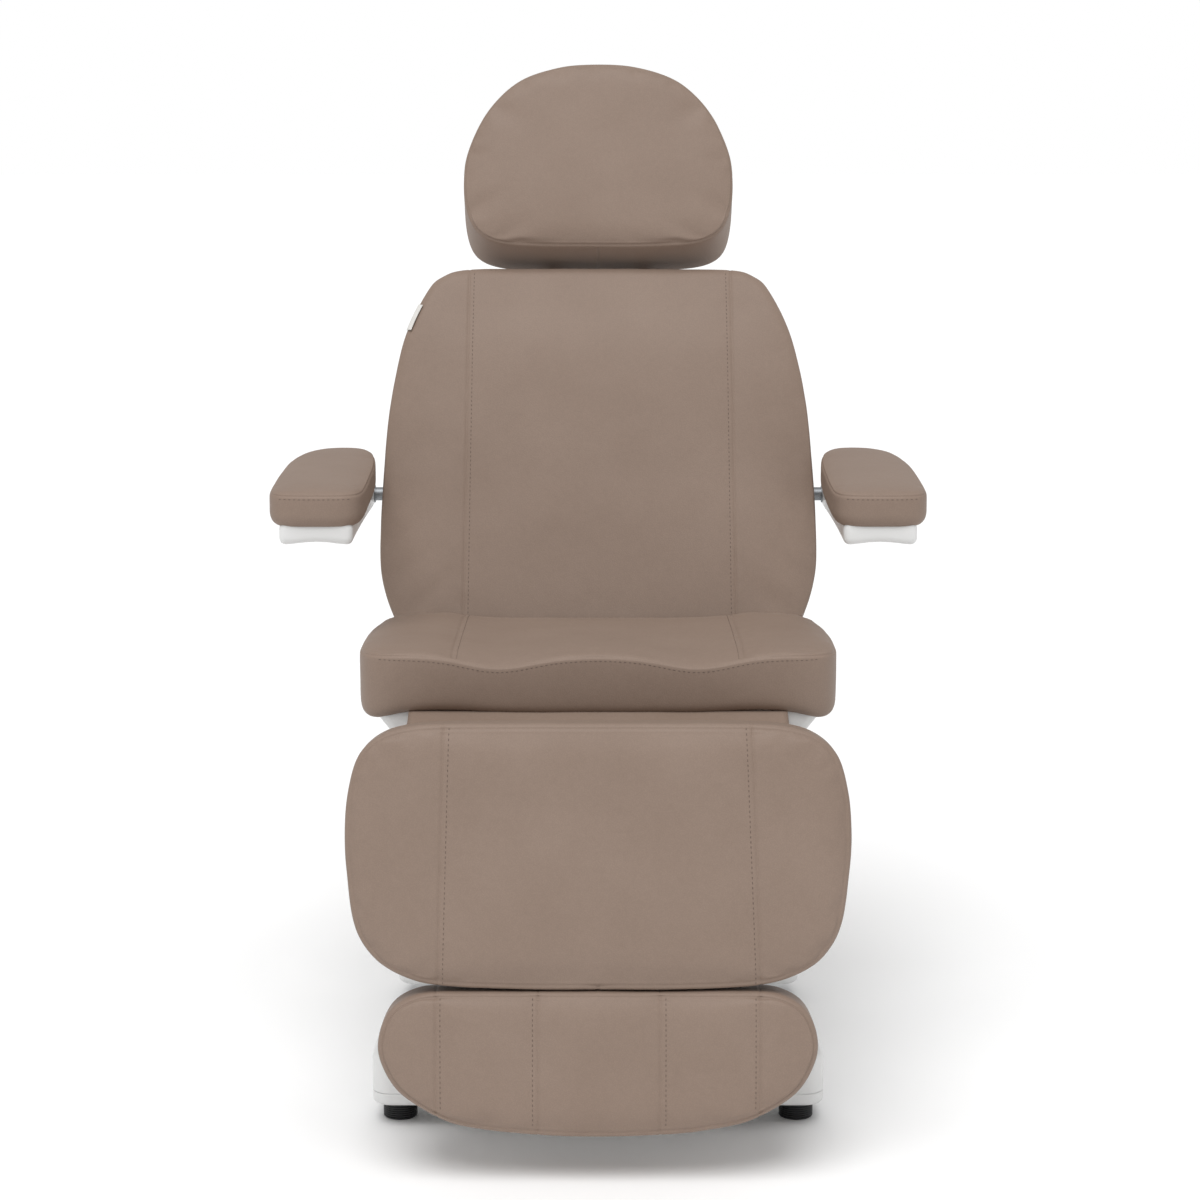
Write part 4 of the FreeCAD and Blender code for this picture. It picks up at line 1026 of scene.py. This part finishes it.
rubberFoot = {"radius": 23, "high": 22, "ribs": [3, 6, 9, 12, 15, 18], "ribWide": 0.7,
              "ribSunk": (0.955, 0.955), "sole": 1.5, "soleShare": 0.95,
              "neck": 9, "neckShare": 0.62, "collar": 1,
              "spots": [(-268, -263), (268, -263), (-216, 263), (216, 263)]}
letGo()
bpy.ops.mesh.primitive_cylinder_add(vertices=40, radius=rubberFoot["radius"] * mm,
                                    depth=rubberFoot["high"] * mm,
                                    location=(0, 0, rubberFoot["high"] / 2 * mm))
foot = started("rubber_feet")
settle(foot)
cutAcross(foot, "z", [rubberFoot["sole"]])
for rib in rubberFoot["ribs"]:
    sunkLine(foot, rib, rubberFoot["ribWide"], rubberFoot["ribSunk"])
sole = rubberFoot["soleShare"]
reshape(foot, lambda v: (v.x * sole, v.y * sole, v.z) if v.z < 0.5 else v)
chosen(foot, lambda face: face.normal.z > 0.9)
drawUp(rubberFoot["neck"])
bpy.ops.transform.resize(value=(rubberFoot["neckShare"], rubberFoot["neckShare"], 1),
                         center_override=(0, 0, (rubberFoot["high"] + rubberFoot["neck"]) * mm))
drawUp(rubberFoot["collar"])
closeMesh()
feet = []
for x, y in rubberFoot["spots"]:
    takeUp(foot)
    bpy.ops.object.duplicate()
    copy = bpy.context.object
    copy.location = (x * mm, y * mm, 0)
    settle(copy)
    feet.append(copy)
bpy.data.objects.remove(foot)
foot = joined(feet, "rubber_feet")
smoothedFlats(foot)
dressed(foot, "base", blackRubber, ["levelling_pads"])


# Leatherette flap that closes the gap between seat and legrest

flapCut = {"wide": 496, "long": 79, "rear": -303, "front": -379, "level": 559, "rise": 11, "thick": 1.4,
           "slack": 1.2, "ripple": 0.5, "rippleWide": 60, "rippleLong": 40}


def flapLie(v, cut):
    # hangs from the seat's lower edge and lies down to the legrest, with a little slack
    along = v.y * mm + 0.5
    y = cut["front"] + along * (cut["rear"] - cut["front"])
    ripple = cut["ripple"] * noise.noise(Vector((v.x / cut["rippleWide"], y / cut["rippleLong"], 3)))
    slack = cut["slack"] * math.sin(math.pi * along) + ripple
    return v.x * cut["wide"] * mm, y, cut["level"] + cut["rise"] * along ** 2 - slack


letGo()
bpy.ops.mesh.primitive_grid_add(x_subdivisions=60, y_subdivisions=24, size=1)
flap = started("gap_cover")
reshape(flap, lambda v: flapLie(v, flapCut))
useModifier(flap, "SOLIDIFY", thickness=flapCut["thick"] * mm, offset=0)
smoothed(flap)
flap.data.materials.append(taupeLeatherette)
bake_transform(flap)
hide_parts("gap_flap")


# Blank woven tag sewn into the side seam of the back, lying on the rolled edge

tagCut = {"long": 44, "wide": 13.2, "thick": 0.7, "centre": 491, "fromAngle": 70, "toAngle": 28,
          "lift": 1.6, "stand": 1.4}
backEdge = SewnEdge(bothHalves(backPad["outline"]))
leftSide = [backEdge.length * step / 800 for step in range(400, 800)]
tagMiddle = min(leftSide, key=lambda along: abs(backEdge.spot(along, 0).y - tagCut["centre"]))


def tagLie(v, cut):
    # wraps the flat tag round the roll; its free end stands off a little
    share = v.x * mm + 0.5
    angle = math.radians(cut["fromAngle"] + (cut["toAngle"] - cut["fromAngle"]) * share)
    reach = backPad["roll"] + cut["lift"] + cut["stand"] * share ** 2
    spot = backEdge.spot(tagMiddle + v.y * mm * cut["long"], backPad["roll"] - reach * math.sin(angle))
    height = backPad["face"] - backPad["roll"] + reach * math.cos(angle)
    return backForm(Vector((spot.x, spot.y, height)), backPad)


letGo()
bpy.ops.mesh.primitive_grid_add(x_subdivisions=10, y_subdivisions=24, size=1)
tag = started("blank_tag")
reshape(tag, lambda v: tagLie(v, tagCut))
facesOut(tag)
useModifier(tag, "SOLIDIFY", thickness=tagCut["thick"] * mm, offset=0)
intoPlace(backPad, tag)
smoothed(tag)
dressed(tag, "backrest", wovenTag)
print("small pieces made")


# Frame and drives: the CAD shapes with their edges broken, caps in the tube ends, pins in the inlet

finishOf = {"frame_steel": paleSteel, "bright_steel": chromedSteel, "bar_steel": chromedSteel,
            "dark_plastic": blackRubber, "slide_plastic": greyNylon, "plywood": taupeLeatherette}
slotOf = {part["node"]: part["material_slot"] for part in frame["record"]["subparts"]}
bodyOf = {name: body for body, names in frame["record"]["behaviour"]["bodies"].items() for name in names}
brokenEdges = {"back_rails": 1.3, "back_cross_tubes": 1.3, "bar_clamps": 3, "back_crank": 1.2,
               "headrest_guides": 1, "headrest_hinge": 1.2, "headrest_yoke": 1.2, "leg_rails": 1.3,
               "leg_cross_bars": 1.2, "leg_crank": 1.2, "footrest_guides": 2, "footrest_plate": 1.2,
               "back_actuator": 3, "leg_actuator": 3, "leg_hinge_brackets": 1, "back_hinge_brackets": 1,
               "back_actuator_rod": 1.5, "leg_actuator_rod": 1.5}


def eased(name, width):
    # a copy of the node, merged to whole faces and bevelled
    piece = bpy.data.objects.new(name + "_eased", nodes[name].data.copy())
    bpy.context.scene.collection.objects.link(piece)
    chosen(piece, lambda vertex: True, "VERT")
    bpy.ops.mesh.remove_doubles(threshold=0.01 * mm)
    bpy.ops.mesh.dissolve_limited(angle_limit=math.radians(1))
    closeMesh()
    bevelled(piece, width, 2)
    dressed(piece, bodyOf[name], finishOf[slotOf[name]], [name])


for name, width in brokenEdges.items():
    eased(name, width)

capEdge = 2.5
tubeCaps = [
    {"name": "back_tube_caps", "on": backPad, "x": (151, 189), "along": (494, 503), "up": (-51, -33)},
    {"name": "leg_tube_caps", "on": legPad, "x": (153, 191), "along": (-258, -250), "up": (-8, 16)},
    {"name": "seat_tube_caps", "on": seatPad, "x": (151, 189), "along": (96, 103.5), "up": (507, 545)},
]
for cap in tubeCaps:
    plugs = []
    for side, name in ((-1, "left"), (1, "right")):
        plug = block(cap["name"] + name, *zip(cap["x"], cap["along"], cap["up"]))
        if side < 0:
            mirrored(plug)
        bevelled(plug, capEdge, 3)
        plugs.append(plug)
    caps = joined(plugs, cap["name"])
    intoPlace(cap["on"], caps)
    dressed(caps, cap["on"]["body"], greyNylon)

inletPins = {"x": (116, 134), "thick": 2, "high": 5, "edge": 0.6, "middle": 154, "apart": 10,
             "up": {-1: 74, 0: 79, 1: 74}}
pins = []
for step, z in inletPins["up"].items():
    y = inletPins["middle"] + step * inletPins["apart"]
    pin = block("inlet_pin", (inletPins["x"][0], y - inletPins["thick"] / 2, z - inletPins["high"] / 2),
                (inletPins["x"][1], y + inletPins["thick"] / 2, z + inletPins["high"] / 2))
    bevelled(pin, inletPins["edge"], 2)
    pins.append(pin)
dressed(joined(pins, "inlet_pins"), "base", chromedSteel)

for name, node in nodes.items():
    node.data.materials.clear()
    node.data.materials.append(finishOf.get(slotOf[name], whiteAbs))
print("frame and drives finished")


# Stage, light and camera; floor in metres, angles in degrees

view = {"lens": 89.35, "sensor": 36, "x": 2.5, "y": -4112.5, "z": 1423.5, "down": 10.5}
studio = {"floor": 60, "floorLevel": -0.5, "sun": 2.0, "sunSoft": 42, "sunFromTop": 26, "sunTurn": -12,
          "ambient": 0.58, "ground": 1.0}

letGo()
bpy.ops.mesh.primitive_plane_add(size=studio["floor"], location=(0, 0, studio["floorLevel"] * mm))
floor = started("studio_floor")
floor.data.materials.append(newFinish("pale_floor", {"Base Color": linear("#fdfdfd"), "Roughness": 0.7})[0])
settle(floor)

bpy.ops.object.light_add(type="SUN", rotation=(math.radians(studio["sunFromTop"]), 0,
                                               math.radians(studio["sunTurn"])))
sun = bpy.context.object
sun.name = "soft_sun"
sun.data.energy = studio["sun"]
sun.data.angle = math.radians(studio["sunSoft"])

# the white ground is brighter to the camera than the light that it gives
world = bpy.data.worlds.new("white_studio")
bpy.context.scene.world = world
world.use_nodes = True
sky = world.node_tree
ray = addNode(sky, "ShaderNodeLightPath", {})
glow = addNode(sky, "ShaderNodeMix", {2: studio["ambient"], 3: studio["ground"]},
               {0: ray.outputs["Is Camera Ray"]})
sky.nodes["Background"].inputs["Color"].default_value = linear("#ffffff")
feed(sky, sky.nodes["Background"], {"Strength": glow.outputs[0]})
bpy.context.scene.view_settings.view_transform = "Standard"

bpy.ops.object.camera_add(location=(view["x"] * mm, view["y"] * mm, view["z"] * mm),
                          rotation=(math.radians(90 - view["down"]), 0, 0))
camera = bpy.context.object
camera.data.lens = view["lens"]
camera.data.sensor_width = view["sensor"]
bpy.context.scene.camera = camera
print("stage set")
